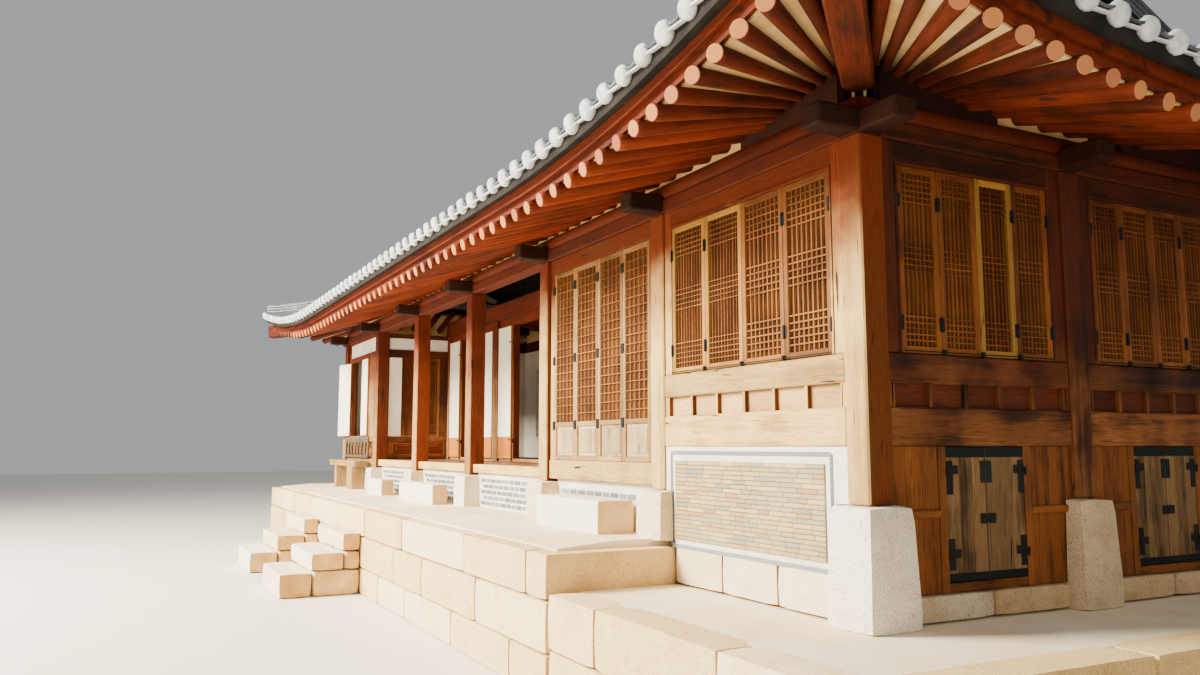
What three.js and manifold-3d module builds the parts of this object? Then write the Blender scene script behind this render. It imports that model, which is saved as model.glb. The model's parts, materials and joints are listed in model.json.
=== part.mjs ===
import * as THREE from 'three';
import { mergeVertices } from 'three/addons/utils/BufferGeometryUtils.js';
import Module from 'manifold-3d';

// A timber house of six bays by two on a granite podium, with a tiled hip-and-gable roof.
// Millimetres, +Z up. The origin is on the ground under the axis of the front corner column.
// X runs along the long front towards that corner, and Y runs from the front to the back.

// Driving dimensions: the grid of column axes
const BAY = 2700;
const FRONT_BAYS = 6;
const SIDE_BAY = 2120;
const SIDE_BAYS = 2;
const PORCH_DEPTH = 1440;
const COLUMN = 225;

// Driving dimensions: heights
const PLINTH_TOP = 1710;
const PODIUM_EDGE = PLINTH_TOP - 500;
const PODIUM_TOP = PLINTH_TOP - 440;
const TERRACE_TOP = PLINTH_TOP - 820;
const FLOOR_TOP = PLINTH_TOP + 150;
const FLOOR_THICK = 120;
const LOFT_TOP = PLINTH_TOP + 560;
const BEAM_FOOT = PLINTH_TOP + 2620;
const BEAM_TOP = PLINTH_TOP + 2910;

// Driving dimensions: podium, terrace and steps
const PODIUM_REACH = 1380;
const PODIUM_SLOPE_END = 600;
const PODIUM_WEST_REACH = 1500;
const PODIUM_EAST_END = -2440;
const TERRACE_REACH = 1420;
const PLINTH_FOOT = 500;
const PLINTH_HEAD = 460;
const STEP_RISES = [350, 260, 270];
const STEP_TREAD = 430;
const STEP_SHORT = 160;
const STEP_SHIFT = 140;
const STEP_WIDTH = 1600;

// Stepping stones before the doors: west end, east end, front, back and top
const STEPPING_STONES = [
  [-4700, -3200, -500, -80, PLINTH_TOP - 110],
  [-10250, -8450, -510, -265, PLINTH_TOP - 140],
  [-12370, -11400, -500, -265, PLINTH_TOP - 160]
];

// Driving dimensions: walls, windows and doors
const WALL = 120;
const BEAM_WIDE = 200;
const HEAD_REACH = 360;
const HEAD_TALL = 165;
const WINDOW_HEAD = PLINTH_TOP + 2440;
const WINDOW_SILL = PLINTH_TOP + 1065;
const RAIL_FOOT = PLINTH_TOP + 400;
const BRICK_FOOT = PLINTH_TOP - 485;
const CORNER_FRONT = -90;
const CORNER_BACK = 30;
const FRONT_JAMB = 130;
const SIDE_FACE = 80;
const SIDE_JAMB = 150;
const FOLD_FOOT = PLINTH_TOP + 60;
const FOLD_FRONT = -60;
const FOLD_BACK = 40;
const FOLD_JAMB = 110;
const BASE_INSIDE = 330;
const LEAF = 38;
const STORE_DOOR_WIDE = 812;
const STORE_DOOR_FOOT = PLINTH_TOP - 555;
const BOARDS_FOOT = PLINTH_TOP - 630;
const PORCH_DOOR_WIDE = 1200;
const PORCH_DOOR_FOOT = PLINTH_TOP + 200;
const PORCH_DOOR_HEAD = PLINTH_TOP + 2470;

// Driving dimensions: the west room's window and bench, and the plain windows of the unseen sides
const WEST_WINDOW = { west: -15800, east: -14800, foot: PLINTH_TOP + 620, top: PLINTH_TOP + 2190 };
const WEST_LEAF_TURN = 17 * Math.PI / 180;
const WEST_LEAF_WIDE = 500;
const BENCH = { west: -16250, east: -13890, front: -400, back: -118, foot: PLINTH_TOP + 5, thick: 115 };
const BENCH_LEGS = [[-15760, -15600], [-14600, -14150]];
const PLAIN_WINDOW = { half: 520, foot: PLINTH_TOP + 620, top: PLINTH_TOP + 2190, recess: 40 };

// Driving dimensions: hinges, with their pin line this far in front of the wall
const PIN_OUT = 12;
const PIN_RADIUS = 5;
const EYE_RADIUS = 8;
const KNUCKLE_TALL = 32;
const STORE_HINGE_IN = 180;
const PORCH_HINGE_IN = 300;

// Driving dimensions: clearances
const GAP = 0.3;
const SEAT_GAP = 0.6;
const SWING_GAP = 6;
const MEETING_GAP = 12;
const SLIVER = 0.1;
const HIP_GAP = 4;

// How far joined solids run into each other, and how far a cutter passes beyond a wall
const BURIED = 10;
const THROUGH = 300;

// Driving dimensions: rafters and roof
const RAFTER_REACH = 1400;
const RAFTER_RADIUS = 65;
const RAFTER_STEP = 300;
const RAFTER_TIP = PLINTH_TOP + 2580;
const RAFTER_SLOPE = 0.31;
const FAN_DEPTH = 1060;
const EAVE_REACH = 1600;
const EAVE_TOP = PLINTH_TOP + 2840;
const FAN_COUNT = 8;
const HIP_WIDE = 240;
const HIP_DEEP = 300;
const HIP_DROP = 15;
const CORNER_LIFT = 520;
const LIFT_RUN = 5000;
const LIFT_DEPTH = 3200;
const CORNER_BOW = 120;
const TILE_THICK = 130;
const ROOF_SLOPE = 0.4;
const ROOF_CURVE = 0.0000125;
const VERGE_OUT = 200;
const GABLE_IN = 300;
const GABLE_START = 385;
const COVER_STEP = 300;
const COVER_WIDE = 150;
const COVER_CREST = 60;
const COVER_TALL = 80;
const COVER_START = 60;
const COVER_OFF_ROW = 40;
const COVER_SPACE = 100;
const RIDGE_WIDE = 220;
const RIDGE_TALL = 340;
const HIP_TALL = 300;

const WEST = -BAY * FRONT_BAYS;
const BACK = SIDE_BAY * SIDE_BAYS;
const RIDGE_Y = BACK / 2;
const HALF = COLUMN / 2;

const wasm = await Module();
wasm.setup();

const finishes = {
  granite: { color: 0xd9ccb4, roughness: 0.9 },
  pineBleached: { color: 0xd9b17c, roughness: 0.75 },
  pineRed: { color: 0x8a3f1e, roughness: 0.7 },
  lattice: { color: 0xb97a3d, roughness: 0.75 },
  storeBoards: { color: 0x6b5240, roughness: 0.85 },
  plaster: { color: 0xefebe0, roughness: 0.95 },
  brick: { color: 0xb3a48c, roughness: 0.9 },
  tile: { color: 0x4a4d50, roughness: 0.8 },
  paper: { color: 0xf2eee2, roughness: 0.9 }
};

const group = new THREE.Group();

// A closed solid from a three.js geometry, with its shared vertices merged.
function solid(geometry) {
  const bare = new THREE.BufferGeometry();
  bare.setAttribute('position', geometry.getAttribute('position').clone());
  if (geometry.index) bare.setIndex(geometry.index.clone());
  const merged = mergeVertices(bare, 0.001);
  return new wasm.Manifold(new wasm.Mesh({
    numProp: 3,
    vertProperties: new Float32Array(merged.getAttribute('position').array),
    triVerts: new Uint32Array(merged.index.array)
  }));
}

// The mesh of a body, without the slivers that cuts leave
function geometryOf(body) {
  const mesh = body.simplify(SLIVER).getMesh();
  const geometry = new THREE.BufferGeometry();
  geometry.setAttribute('position', new THREE.BufferAttribute(new Float32Array(mesh.vertProperties), 3));
  geometry.setIndex(new THREE.BufferAttribute(new Uint32Array(mesh.triVerts), 1));
  return geometry;
}

function add(name, body, finish, place = null) {
  const material = new THREE.MeshStandardMaterial({ ...finishes[finish], metalness: 0 });
  const mesh = new THREE.Mesh(geometryOf(body), material);
  mesh.name = name;
  if (place) {
    mesh.position.set(place.x, place.y, place.z);
    mesh.rotation.z = place.turn;
  }
  group.add(mesh);
}

function block(x0, x1, y0, y1, z0, z1) {
  const geometry = new THREE.BoxGeometry(x1 - x0, y1 - y0, z1 - z0);
  geometry.translate((x0 + x1) / 2, (y0 + y1) / 2, (z0 + z1) / 2);
  return solid(geometry);
}

function join(bodies) {
  return bodies.reduce((sum, body) => sum.add(body));
}

function cut(body, cutters) {
  return cutters.reduce((rest, cutter) => rest.subtract(cutter), body);
}

// The largest of the pieces that a cut leaves
function mainPiece(body) {
  return body.decompose().reduce((best, piece) => (piece.volume() > best.volume() ? piece : best));
}

// A four-sided stone that narrows a little towards its top.
function taperedStone(x, y, foot, head, z0, z1) {
  const geometry = new THREE.CylinderGeometry(head / Math.SQRT2, foot / Math.SQRT2, z1 - z0, 4, 1);
  geometry.rotateY(Math.PI / 4);
  geometry.rotateX(Math.PI / 2);
  geometry.translate(x, y, (z0 + z1) / 2);
  return solid(geometry);
}

// A prism over an outline in the YZ plane, from x0 to x1.
function crossPrism(points, x0, x1) {
  const outline = new THREE.Shape(points.map(([y, z]) => new THREE.Vector2(y, z)));
  const geometry = new THREE.ExtrudeGeometry(outline, { depth: x1 - x0, bevelEnabled: false });
  geometry.rotateX(Math.PI / 2);
  geometry.rotateZ(Math.PI / 2);
  geometry.translate(x0, 0, 0);
  return solid(geometry);
}

// A shell between two grids of points: rows of equal length, the upper ones over the lower ones.
function gridShell(upper, lower) {
  const rows = upper.length;
  const columns = upper[0].length;
  const points = [...upper.flat(), ...lower.flat()];
  const at = (layer, row, column) => layer * rows * columns + row * columns + column;
  const faces = [];
  const quad = (a, b, c, d) => faces.push(a, b, c, a, c, d);
  for (let row = 0; row < rows - 1; row += 1) {
    for (let column = 0; column < columns - 1; column += 1) {
      quad(at(0, row, column), at(0, row, column + 1), at(0, row + 1, column + 1), at(0, row + 1, column));
      quad(at(1, row, column), at(1, row + 1, column), at(1, row + 1, column + 1), at(1, row, column + 1));
    }
  }
  for (let column = 0; column < columns - 1; column += 1) {
    const last = rows - 1;
    quad(at(1, 0, column), at(1, 0, column + 1), at(0, 0, column + 1), at(0, 0, column));
    quad(at(0, last, column), at(0, last, column + 1), at(1, last, column + 1), at(1, last, column));
  }
  for (let row = 0; row < rows - 1; row += 1) {
    const last = columns - 1;
    quad(at(0, row, 0), at(0, row + 1, 0), at(1, row + 1, 0), at(1, row, 0));
    quad(at(1, row, last), at(1, row + 1, last), at(0, row + 1, last), at(0, row, last));
  }
  const geometry = new THREE.BufferGeometry();
  const values = points.flatMap(({ x, y, z }) => [x, y, z]);
  geometry.setAttribute('position', new THREE.Float32BufferAttribute(values, 3));
  geometry.setIndex(faces);
  return solid(geometry);
}

const point = (x, y, z) => new THREE.Vector3(x, y, z);
const columnX = (index) => -BAY * index;
const sideY = (index) => SIDE_BAY * index;
const columnSpace = (x, y) =>
  block(x - HALF - GAP, x + HALF + GAP, y - HALF - GAP, y + HALF + GAP, 0, BEAM_TOP);

const stoneSpace = (x, y) => block(x - PLINTH_FOOT / 2 - GAP, x + PLINTH_FOOT / 2 + GAP,
  y - PLINTH_FOOT / 2 - GAP, y + PLINTH_FOOT / 2 + GAP, 0, PLINTH_TOP + GAP);

// Granite podium under bays two to six, with the plinths of its columns
function podium() {
  const base = crossPrism([
    [-PODIUM_REACH, 0], [-PODIUM_REACH, PODIUM_EDGE], [-PODIUM_SLOPE_END, PODIUM_TOP],
    [BACK + PODIUM_SLOPE_END, PODIUM_TOP], [BACK + PODIUM_REACH, PODIUM_EDGE], [BACK + PODIUM_REACH, 0]
  ], WEST - PODIUM_WEST_REACH, PODIUM_EAST_END);
  const plinths = [];
  for (let i = 1; i <= FRONT_BAYS; i += 1) {
    plinths.push([columnX(i), 0], [columnX(i), BACK]);
  }
  for (let i = 2; i <= 5; i += 1) plinths.push([columnX(i), PORCH_DEPTH]);
  plinths.push([WEST, SIDE_BAY]);
  const foot = PODIUM_TOP - BURIED;
  const stones = STEPPING_STONES.map(([west, east, front, back, top]) =>
    block(west, east, front, back, foot, top));
  return join([base, ...stones, ...plinths.map(([x, y]) =>
    taperedStone(x, y, PLINTH_FOOT, PLINTH_HEAD, foot, PLINTH_TOP))]);
}

// Lower granite terrace round the corner bay, with its tall plinths and the sill stones between them
function terrace() {
  const west = PODIUM_EAST_END + GAP;
  const foot = TERRACE_TOP - BURIED;
  const sillTop = BRICK_FOOT - GAP;
  const base = block(west, TERRACE_REACH, -PODIUM_REACH, BACK + PODIUM_REACH, 0, TERRACE_TOP);
  const plinths = [0, 1, 2].map((j) => taperedStone(0, sideY(j), PLINTH_FOOT, PLINTH_HEAD, foot, PLINTH_TOP));
  const sideSill = block(-60, 110, 0, BACK, foot, BOARDS_FOOT - GAP);
  const frontSill = block(west, 0, -100, 60, foot, sillTop);
  const backSill = block(west, 0, BACK - 60, BACK + 100, foot, sillTop);
  return join([base, ...plinths, sideSill, frontSill, backSill]);
}

// One flight of three long granite blocks against the podium
function steps(eastEnd) {
  const face = -PODIUM_REACH - GAP;
  const treads = [];
  let top = 0;
  STEP_RISES.forEach((rise, index) => {
    const depth = STEP_TREAD * (STEP_RISES.length - index) - STEP_SHORT;
    const westEnd = eastEnd - STEP_WIDTH - STEP_SHIFT * index;
    treads.push(block(westEnd, eastEnd, face - depth, face, Math.max(top - BURIED, 0), top + rise));
    top += rise;
  });
  return join(treads);
}

add('podium', podium(), 'granite');
add('terrace', terrace(), 'granite');
add('east_steps', steps(-9010), 'granite');
add('west_steps', steps(-12090), 'granite');

// Height of the rafter tips above their mid-length height, at a distance from the eaves corner
function lift(distance) {
  const share = Math.max(0, 1 - distance / LIFT_RUN);
  return CORNER_LIFT * share ** 2.2;
}

const bow = (distance) => CORNER_BOW * Math.max(0, 1 - distance / LIFT_RUN) ** 2;

// One side of the eaves in its own frame: a runs along the wall, b runs inwards from the column axes
const innerHeight = RAFTER_TIP + RAFTER_SLOPE * (RAFTER_REACH + FAN_DEPTH);

// Height of the rafter axes over the column axes, at a distance from the corner
function axisHeight(a) {
  const tip = a >= FAN_DEPTH ? a : FAN_DEPTH - (FAN_DEPTH - a) * (RAFTER_REACH + FAN_DEPTH) / FAN_DEPTH;
  const tipHeight = RAFTER_TIP + lift(tip + EAVE_REACH);
  return tipHeight + (innerHeight - tipHeight) * RAFTER_REACH / (RAFTER_REACH + FAN_DEPTH);
}

// The frame: columns on their plinths, and the beams on the columns with their heads standing out
const columnFoot = PLINTH_TOP + GAP;
const column = (x, y) => block(x - HALF, x + HALF, y - HALF, y + HALF, columnFoot, BEAM_FOOT + BURIED);
const beamHalf = BEAM_WIDE / 2;
const headHalf = 105;
const headFoot = BEAM_FOOT + 15;
const headTop = headFoot + HEAD_TALL;

// The plastered strip on a beam, which rises towards the corners with the rafters that rest on it
function fillerOutline(length) {
  const below = RAFTER_RADIUS + RAFTER_SLOPE * 50 + 2;
  const distances = [230, 350, 600, 850, FAN_DEPTH, 1600, 2100].filter((a) => a < length / 2);
  if (length > BACK) distances.push(2700, 3500);
  const west = distances.map((a) => [a, axisHeight(a) - below]);
  const east = distances.slice().reverse().map((a) => [length - a, axisHeight(a) - below]);
  return [[distances[0], BEAM_TOP - BURIED], ...west, ...east, [length - distances[0], BEAM_TOP - BURIED]];
}

// A prism over an outline of distances along a wall and heights, with the given thickness
function alongPrism(points, b0, b1) {
  const outline = new THREE.Shape(points.map(([a, z]) => new THREE.Vector2(a, z)));
  const geometry = new THREE.ExtrudeGeometry(outline, { depth: b1 - b0, bevelEnabled: false });
  geometry.rotateX(Math.PI / 2);
  geometry.translate(0, b1, 0);
  return geometry;
}

function longFrame(y, outward, firstColumn) {
  const parts = [block(WEST - HEAD_REACH, HEAD_REACH, y - beamHalf, y + beamHalf, BEAM_FOOT, headTop)];
  parts.push(block(WEST - beamHalf, beamHalf, y - beamHalf, y + beamHalf, BEAM_FOOT, BEAM_TOP));
  const filler = alongPrism(fillerOutline(-WEST), y - 50, y + 50);
  filler.translate(WEST, 0, 0);
  parts.push(solid(filler));
  for (let i = 0; i <= FRONT_BAYS; i += 1) {
    const x = columnX(i);
    const tip = y + outward * (beamHalf + HEAD_REACH);
    parts.push(block(x - headHalf, x + headHalf, Math.min(y, tip), Math.max(y, tip), headFoot, headTop));
    if (i >= firstColumn) parts.push(column(x, y));
  }
  return join(parts);
}

function endFrame(x, outward) {
  const start = HALF + GAP;
  const beam = block(x - beamHalf, x + beamHalf, start, BACK - start, BEAM_FOOT, BEAM_TOP);
  const tip = x + outward * (beamHalf + HEAD_REACH);
  const head = block(Math.min(x, tip), Math.max(x, tip), SIDE_BAY - headHalf, SIDE_BAY + headHalf,
    headFoot, headTop);
  const filler = alongPrism(fillerOutline(BACK), -50, 50);
  filler.rotateZ(Math.PI / 2);
  filler.translate(x, 0, 0);
  const strip = solid(filler).intersect(block(x - 60, x + 60, start, BACK - start, 0, BEAM_TOP + 1000));
  return join([beam, head, strip, column(x, SIDE_BAY)]);
}

// Inner columns at the back of the porch, under one beam, with the heads of the doorways
function porchFrame() {
  const beam = block(columnX(5) - HALF, columnX(2) + HALF, PORCH_DEPTH - beamHalf, PORCH_DEPTH + beamHalf,
    BEAM_FOOT, BEAM_TOP);
  const head = block(columnX(5), columnX(3), PORCH_DEPTH - WALL / 2, PORCH_DEPTH + WALL / 2,
    PORCH_DOOR_HEAD + SWING_GAP, BEAM_FOOT + BURIED);
  return join([beam, head, ...[2, 3, 4, 5].map((i) => column(columnX(i), PORCH_DEPTH))]);
}

add('corner_column', block(-HALF, HALF, -HALF, HALF, columnFoot, BEAM_FOOT - GAP), 'pineBleached');
add('front_frame', longFrame(0, -1, 1), 'pineRed');
add('back_frame', longFrame(BACK, 1, 0), 'pineRed');
add('east_frame', endFrame(0, 1), 'pineRed');
add('west_frame', endFrame(WEST, -1), 'pineRed');
add('porch_frame', porchFrame(), 'pineRed');

// A wall panel between two columns of the front row, in X, about the plane of the wall
const bayWest = (bay) => columnX(bay) + HALF + GAP;
const bayEast = (bay) => columnX(bay - 1) - HALF - GAP;
const wallHalf = WALL / 2;
const floorFoot = FLOOR_TOP - FLOOR_THICK;
const BASE_TOP = floorFoot - GAP;

// The corner bay's front: brick below, then the rail, the window frame and the window
const podiumSpace = block(columnX(1), PODIUM_EAST_END + GAP, -THROUGH, THROUGH, 0, PODIUM_TOP + GAP);
const brickPanel = block(bayWest(1), bayEast(1), CORNER_FRONT, CORNER_BACK, BRICK_FOOT, RAIL_FOOT - GAP);
add('corner_brick_panel',
  cut(brickPanel, [stoneSpace(columnX(1), 0), stoneSpace(0, 0), podiumSpace]), 'brick');

// A timber wall with one window opening, standing on its foot rail
function windowWall(x0, x1, y0, y1, z0, opening) {
  return cut(block(x0, x1, y0, y1, z0, BEAM_FOOT - GAP), [opening]);
}

add('corner_front_wall', windowWall(bayWest(1), bayEast(1), CORNER_FRONT, CORNER_BACK, RAIL_FOOT,
  block(bayWest(1) + FRONT_JAMB, bayEast(1) - FRONT_JAMB, -THROUGH, THROUGH, WINDOW_SILL, WINDOW_HEAD)),
'pineBleached');
add('corner_window', block(bayWest(1) + FRONT_JAMB + GAP, bayEast(1) - FRONT_JAMB - GAP,
  CORNER_FRONT - 5, CORNER_FRONT - 5 + LEAF, WINDOW_SILL + GAP, WINDOW_HEAD - GAP), 'lattice');

// An upright knuckle of a hinge about its pin line
function knuckle(x, y, z0, z1, radius) {
  const geometry = new THREE.CylinderGeometry(radius, radius, z1 - z0, 6, 1);
  geometry.rotateX(Math.PI / 2);
  geometry.translate(x, y, (z0 + z1) / 2);
  return solid(geometry);
}

// A box by two opposite corners, given in any order
const between = (a, b) => block(Math.min(a.x, b.x), Math.max(a.x, b.x),
  Math.min(a.y, b.y), Math.max(a.y, b.y), Math.min(a.z, b.z), Math.max(a.z, b.z));

// The hinges of one store leaf: fixed knuckles on brackets, and the leaf's eyes on straps over them
function storeHinges(pinY, inward, foot, top) {
  const x = SIDE_FACE + PIN_OUT;
  const fixed = [];
  const moving = [];
  for (const z of [foot + STORE_HINGE_IN, top - STORE_HINGE_IN]) {
    const low = z - KNUCKLE_TALL;
    const high = z + KNUCKLE_TALL;
    fixed.push(knuckle(x, pinY, low, z, PIN_RADIUS),
      between(point(x - PIN_OUT - 1, pinY, low), point(x, pinY - inward * 6, z)));
    moving.push(knuckle(x, pinY, z + GAP, high, EYE_RADIUS),
      between(point(x - PIN_OUT - 2, pinY + inward, z + GAP), point(x - 3, pinY + inward * 30, high)));
  }
  return { fixed, moving };
}

// One bay of the side: a window wall above, and a storage door between boards below
function sideBay(index) {
  const south = sideY(index) + HALF + GAP;
  const north = sideY(index + 1) - HALF - GAP;
  const middle = (south + north) / 2 - (index === 0 ? 10 : 0);
  const tag = `side_bay_${index + 1}`;
  add(`${tag}_wall`, windowWall(SIDE_FACE - WALL, SIDE_FACE, south, north, RAIL_FOOT + 5,
    block(-THROUGH, THROUGH, south + SIDE_JAMB, north - SIDE_JAMB, WINDOW_SILL, WINDOW_HEAD)), 'pineRed');
  add(`${tag}_window`, block(SIDE_FACE - LEAF, SIDE_FACE, south + SIDE_JAMB + GAP, north - SIDE_JAMB - GAP,
    WINDOW_SILL + GAP, WINDOW_HEAD - GAP), 'lattice');
  const doorSouth = middle - STORE_DOOR_WIDE / 2;
  const doorNorth = middle + STORE_DOOR_WIDE / 2;
  const head = RAIL_FOOT + 5 - GAP;
  const foot = STORE_DOOR_FOOT;
  const top = head - SWING_GAP;
  const southHinges = storeHinges(doorSouth, 1, foot, top);
  const northHinges = storeHinges(doorNorth, -1, foot, top);
  const boards = cut(block(SIDE_FACE - 50, SIDE_FACE, south, north, BOARDS_FOOT, head), [
    block(-THROUGH, THROUGH, doorSouth, doorNorth, foot - SWING_GAP, head + BURIED),
    stoneSpace(0, sideY(index)), stoneSpace(0, sideY(index + 1))
  ]);
  add(`${tag}_store_boards`, join([boards, ...southHinges.fixed, ...northHinges.fixed]), 'pineRed');
  const leaf = (y0, y1) => block(SIDE_FACE - LEAF, SIDE_FACE, y0, y1, foot, top);
  add(`${tag}_leaf_south`,
    join([leaf(doorSouth + SWING_GAP, middle - MEETING_GAP / 2), ...southHinges.moving]), 'storeBoards');
  add(`${tag}_leaf_north`,
    join([leaf(middle + MEETING_GAP / 2, doorNorth - SWING_GAP), ...northHinges.moving]), 'storeBoards');
}

sideBay(0);
sideBay(1);

// The middle room's front: four folding lattice leaves in their frame
add('middle_room_frame', windowWall(bayWest(2), bayEast(2), FOLD_FRONT, FOLD_BACK, floorFoot,
  block(bayWest(2) + FOLD_JAMB, bayEast(2) - FOLD_JAMB, -THROUGH, THROUGH, FOLD_FOOT, WINDOW_HEAD)),
'pineBleached');
add('folding_doors', block(bayWest(2) + FOLD_JAMB + GAP, bayEast(2) - FOLD_JAMB - GAP,
  FOLD_FRONT, FOLD_FRONT + LEAF, FOLD_FOOT + GAP, WINDOW_HEAD - GAP), 'lattice');

const gridColumns = [0, 1, 2, 3, 4, 5, 6].map(columnX);
const frontPosts = gridColumns.map((x) => [x, 0]);
const backPosts = gridColumns.map((x) => [x, BACK]);
const innerPosts = gridColumns.slice(2, 6).map((x) => [x, PORCH_DEPTH]);
const allPosts = [...frontPosts, ...backPosts, ...innerPosts, [0, SIDE_BAY], [WEST, SIDE_BAY]];

// Plastered base wall between the plinths, with the wall behind the store
function baseWall() {
  const foot = PODIUM_TOP + GAP;
  const front = block(WEST, columnX(1) + wallHalf, 0, BASE_INSIDE, foot, BASE_TOP);
  const store = block(columnX(1) - wallHalf, columnX(1) + wallHalf,
    BASE_INSIDE - BURIED, BACK - BASE_INSIDE - GAP, foot, LOFT_TOP - FLOOR_THICK - GAP);
  return cut(join([front, store]), frontPosts.flatMap(([x, y]) => [stoneSpace(x, y), columnSpace(x, y)]));
}

add('base_wall', baseWall(), 'plaster');

// The back and west walls pass just inside their columns
const wallInside = HALF + 25;

// Floors: the porch between the front and inner columns, the rooms behind, and the loft over the store
const columnCutters = allPosts.map(([x, y]) => columnSpace(x, y));
const porchBack = PORCH_DEPTH - wallHalf;

const porchBoards = block(columnX(5), columnX(2), -55, porchBack - GAP, floorFoot, FLOOR_TOP);
add('porch_floor', cut(porchBoards, columnCutters), 'pineBleached');

function roomFloor() {
  const back = BACK - wallInside - GAP;
  const start = WEST + wallInside + GAP;
  const east = columnX(1) - wallHalf - GAP;
  const hall = block(start, east, PORCH_DEPTH + wallHalf + GAP, back, floorFoot, FLOOR_TOP);
  const middle = block(columnX(2) + wallHalf + GAP, east, FOLD_BACK + GAP, back, floorFoot, FLOOR_TOP);
  const west = block(start, columnX(5) - wallHalf - GAP, FOLD_BACK + GAP, back, floorFoot, FLOOR_TOP);
  return cut(join([hall, middle, west]), columnCutters);
}

add('room_floor', roomFloor(), 'pineBleached');
add('loft_floor', cut(block(columnX(1) - wallHalf, SIDE_FACE - WALL - GAP, CORNER_BACK + GAP,
  BACK - wallInside - GAP, LOFT_TOP - FLOOR_THICK, LOFT_TOP), columnCutters), 'pineBleached');

// The porch's back wall: closed in bay three, with a doorway in bays four and five
const backFace = PORCH_DEPTH - wallHalf;
const doorMiddle = (bay) => columnX(bay) + BAY / 2;
const wallTop = BEAM_FOOT - GAP;

add('porch_wall_bay_3',
  block(bayWest(3), bayEast(3), backFace, backFace + WALL, floorFoot, wallTop), 'plaster');

// The hinges of one porch leaf, which stands open against the wall beside its doorway
function porchHinges(pinX, outward) {
  const y = backFace - PIN_OUT;
  const fixed = [];
  const moving = [];
  for (const z of [PORCH_DOOR_FOOT + PORCH_HINGE_IN, PORCH_DOOR_HEAD - PORCH_HINGE_IN]) {
    fixed.push(knuckle(pinX, y, z - KNUCKLE_TALL, z, PIN_RADIUS),
      between(point(pinX, y, z - KNUCKLE_TALL), point(pinX + outward * PIN_RADIUS, y + PIN_OUT + 1, z)));
    moving.push(knuckle(pinX, y, z + GAP, z + KNUCKLE_TALL, EYE_RADIUS),
      between(point(pinX, y - 3, z + GAP), point(pinX + outward * 12, y + 3, z + KNUCKLE_TALL)));
  }
  return { fixed, moving };
}

for (const bay of [4, 5]) {
  const west = doorMiddle(bay) - PORCH_DOOR_WIDE / 2;
  const east = doorMiddle(bay) + PORCH_DOOR_WIDE / 2;
  const tag = `porch_bay_${bay}`;
  const doorHead = PORCH_DOOR_HEAD + SWING_GAP;
  const sillTop = PORCH_DOOR_FOOT - SWING_GAP;
  const westHinges = porchHinges(west, -1);
  const eastHinges = porchHinges(east, 1);
  const wall = cut(block(bayWest(bay), bayEast(bay), backFace, backFace + WALL, floorFoot, doorHead - GAP),
    [block(west, east, 0, BACK, sillTop, doorHead)]);
  add(`${tag}_wall`, join([wall, ...westHinges.fixed, ...eastHinges.fixed]), 'pineRed');
  const leafWide = PORCH_DOOR_WIDE / 2 - MEETING_GAP;
  const leafBack = backFace - SWING_GAP;
  const leaf = (x0, x1) => block(x0, x1, leafBack - LEAF, leafBack, PORCH_DOOR_FOOT, PORCH_DOOR_HEAD);
  add(`${tag}_leaf_west`,
    join([leaf(west - SWING_GAP - leafWide, west - SWING_GAP), ...westHinges.moving]), 'paper');
  add(`${tag}_leaf_east`,
    join([leaf(east + SWING_GAP, east + SWING_GAP + leafWide), ...eastHinges.moving]), 'paper');
}

// The walls that close the porch at its two ends
const porchEndSouth = HALF + GAP;
const porchEndNorth = PORCH_DEPTH - HALF - GAP;
const endWindow = {
  south: porchEndSouth + 270, north: porchEndNorth - 160, foot: PLINTH_TOP + 600, top: PLINTH_TOP + 2150
};
const endWall = block(columnX(5) - wallHalf, columnX(5) + wallHalf, porchEndSouth, porchEndNorth,
  FLOOR_TOP + GAP, wallTop);
add('porch_west_wall', cut(endWall,
  [block(WEST, 0, endWindow.south, endWindow.north, endWindow.foot, endWindow.top)]), 'pineRed');
add('porch_west_window', block(columnX(5) + wallHalf - LEAF, columnX(5) + wallHalf,
  endWindow.south + GAP, endWindow.north - GAP, endWindow.foot + GAP, endWindow.top - GAP), 'lattice');
add('porch_east_wall', block(columnX(2) - wallHalf, columnX(2) + wallHalf, porchEndSouth, porchEndNorth,
  FLOOR_TOP + GAP, wallTop), 'plaster');

// The west room's front: window opening with its two leaves standing open, and the bench before it
add('west_room_front', windowWall(bayWest(6), bayEast(6), FOLD_FRONT, FOLD_BACK, floorFoot,
  block(WEST_WINDOW.west, WEST_WINDOW.east, -THROUGH, THROUGH, WEST_WINDOW.foot, WEST_WINDOW.top)),
'pineRed');
const openLeaf = (x0, x1) => block(x0, x1, -LEAF, 0, WEST_WINDOW.foot, WEST_WINDOW.top);
add('west_room_leaf_west', openLeaf(-WEST_LEAF_WIDE, 0), 'paper',
  { x: WEST_WINDOW.west - 2, y: FOLD_FRONT - GAP, z: 0, turn: WEST_LEAF_TURN });
add('west_room_leaf_east', openLeaf(0, WEST_LEAF_WIDE), 'paper',
  { x: WEST_WINDOW.east + 40, y: FOLD_FRONT - GAP, z: 0, turn: 0 });
add('bench', join([
  block(BENCH.west, BENCH.east, BENCH.front, BENCH.back, BENCH.foot, BENCH.foot + BENCH.thick),
  ...BENCH_LEGS.map(([west, east]) =>
    block(west, east, BENCH.front + 10, BENCH.back - 12, PODIUM_TOP + GAP, BENCH.foot + 5))
]), 'pineBleached');

// The back and west walls: plastered bays that pass just inside their columns
const outerCutters = [...backPosts, [WEST, 0], [WEST, SIDE_BAY]].flatMap(([x, y]) =>
  [stoneSpace(x, y), columnSpace(x, y)]);

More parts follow.
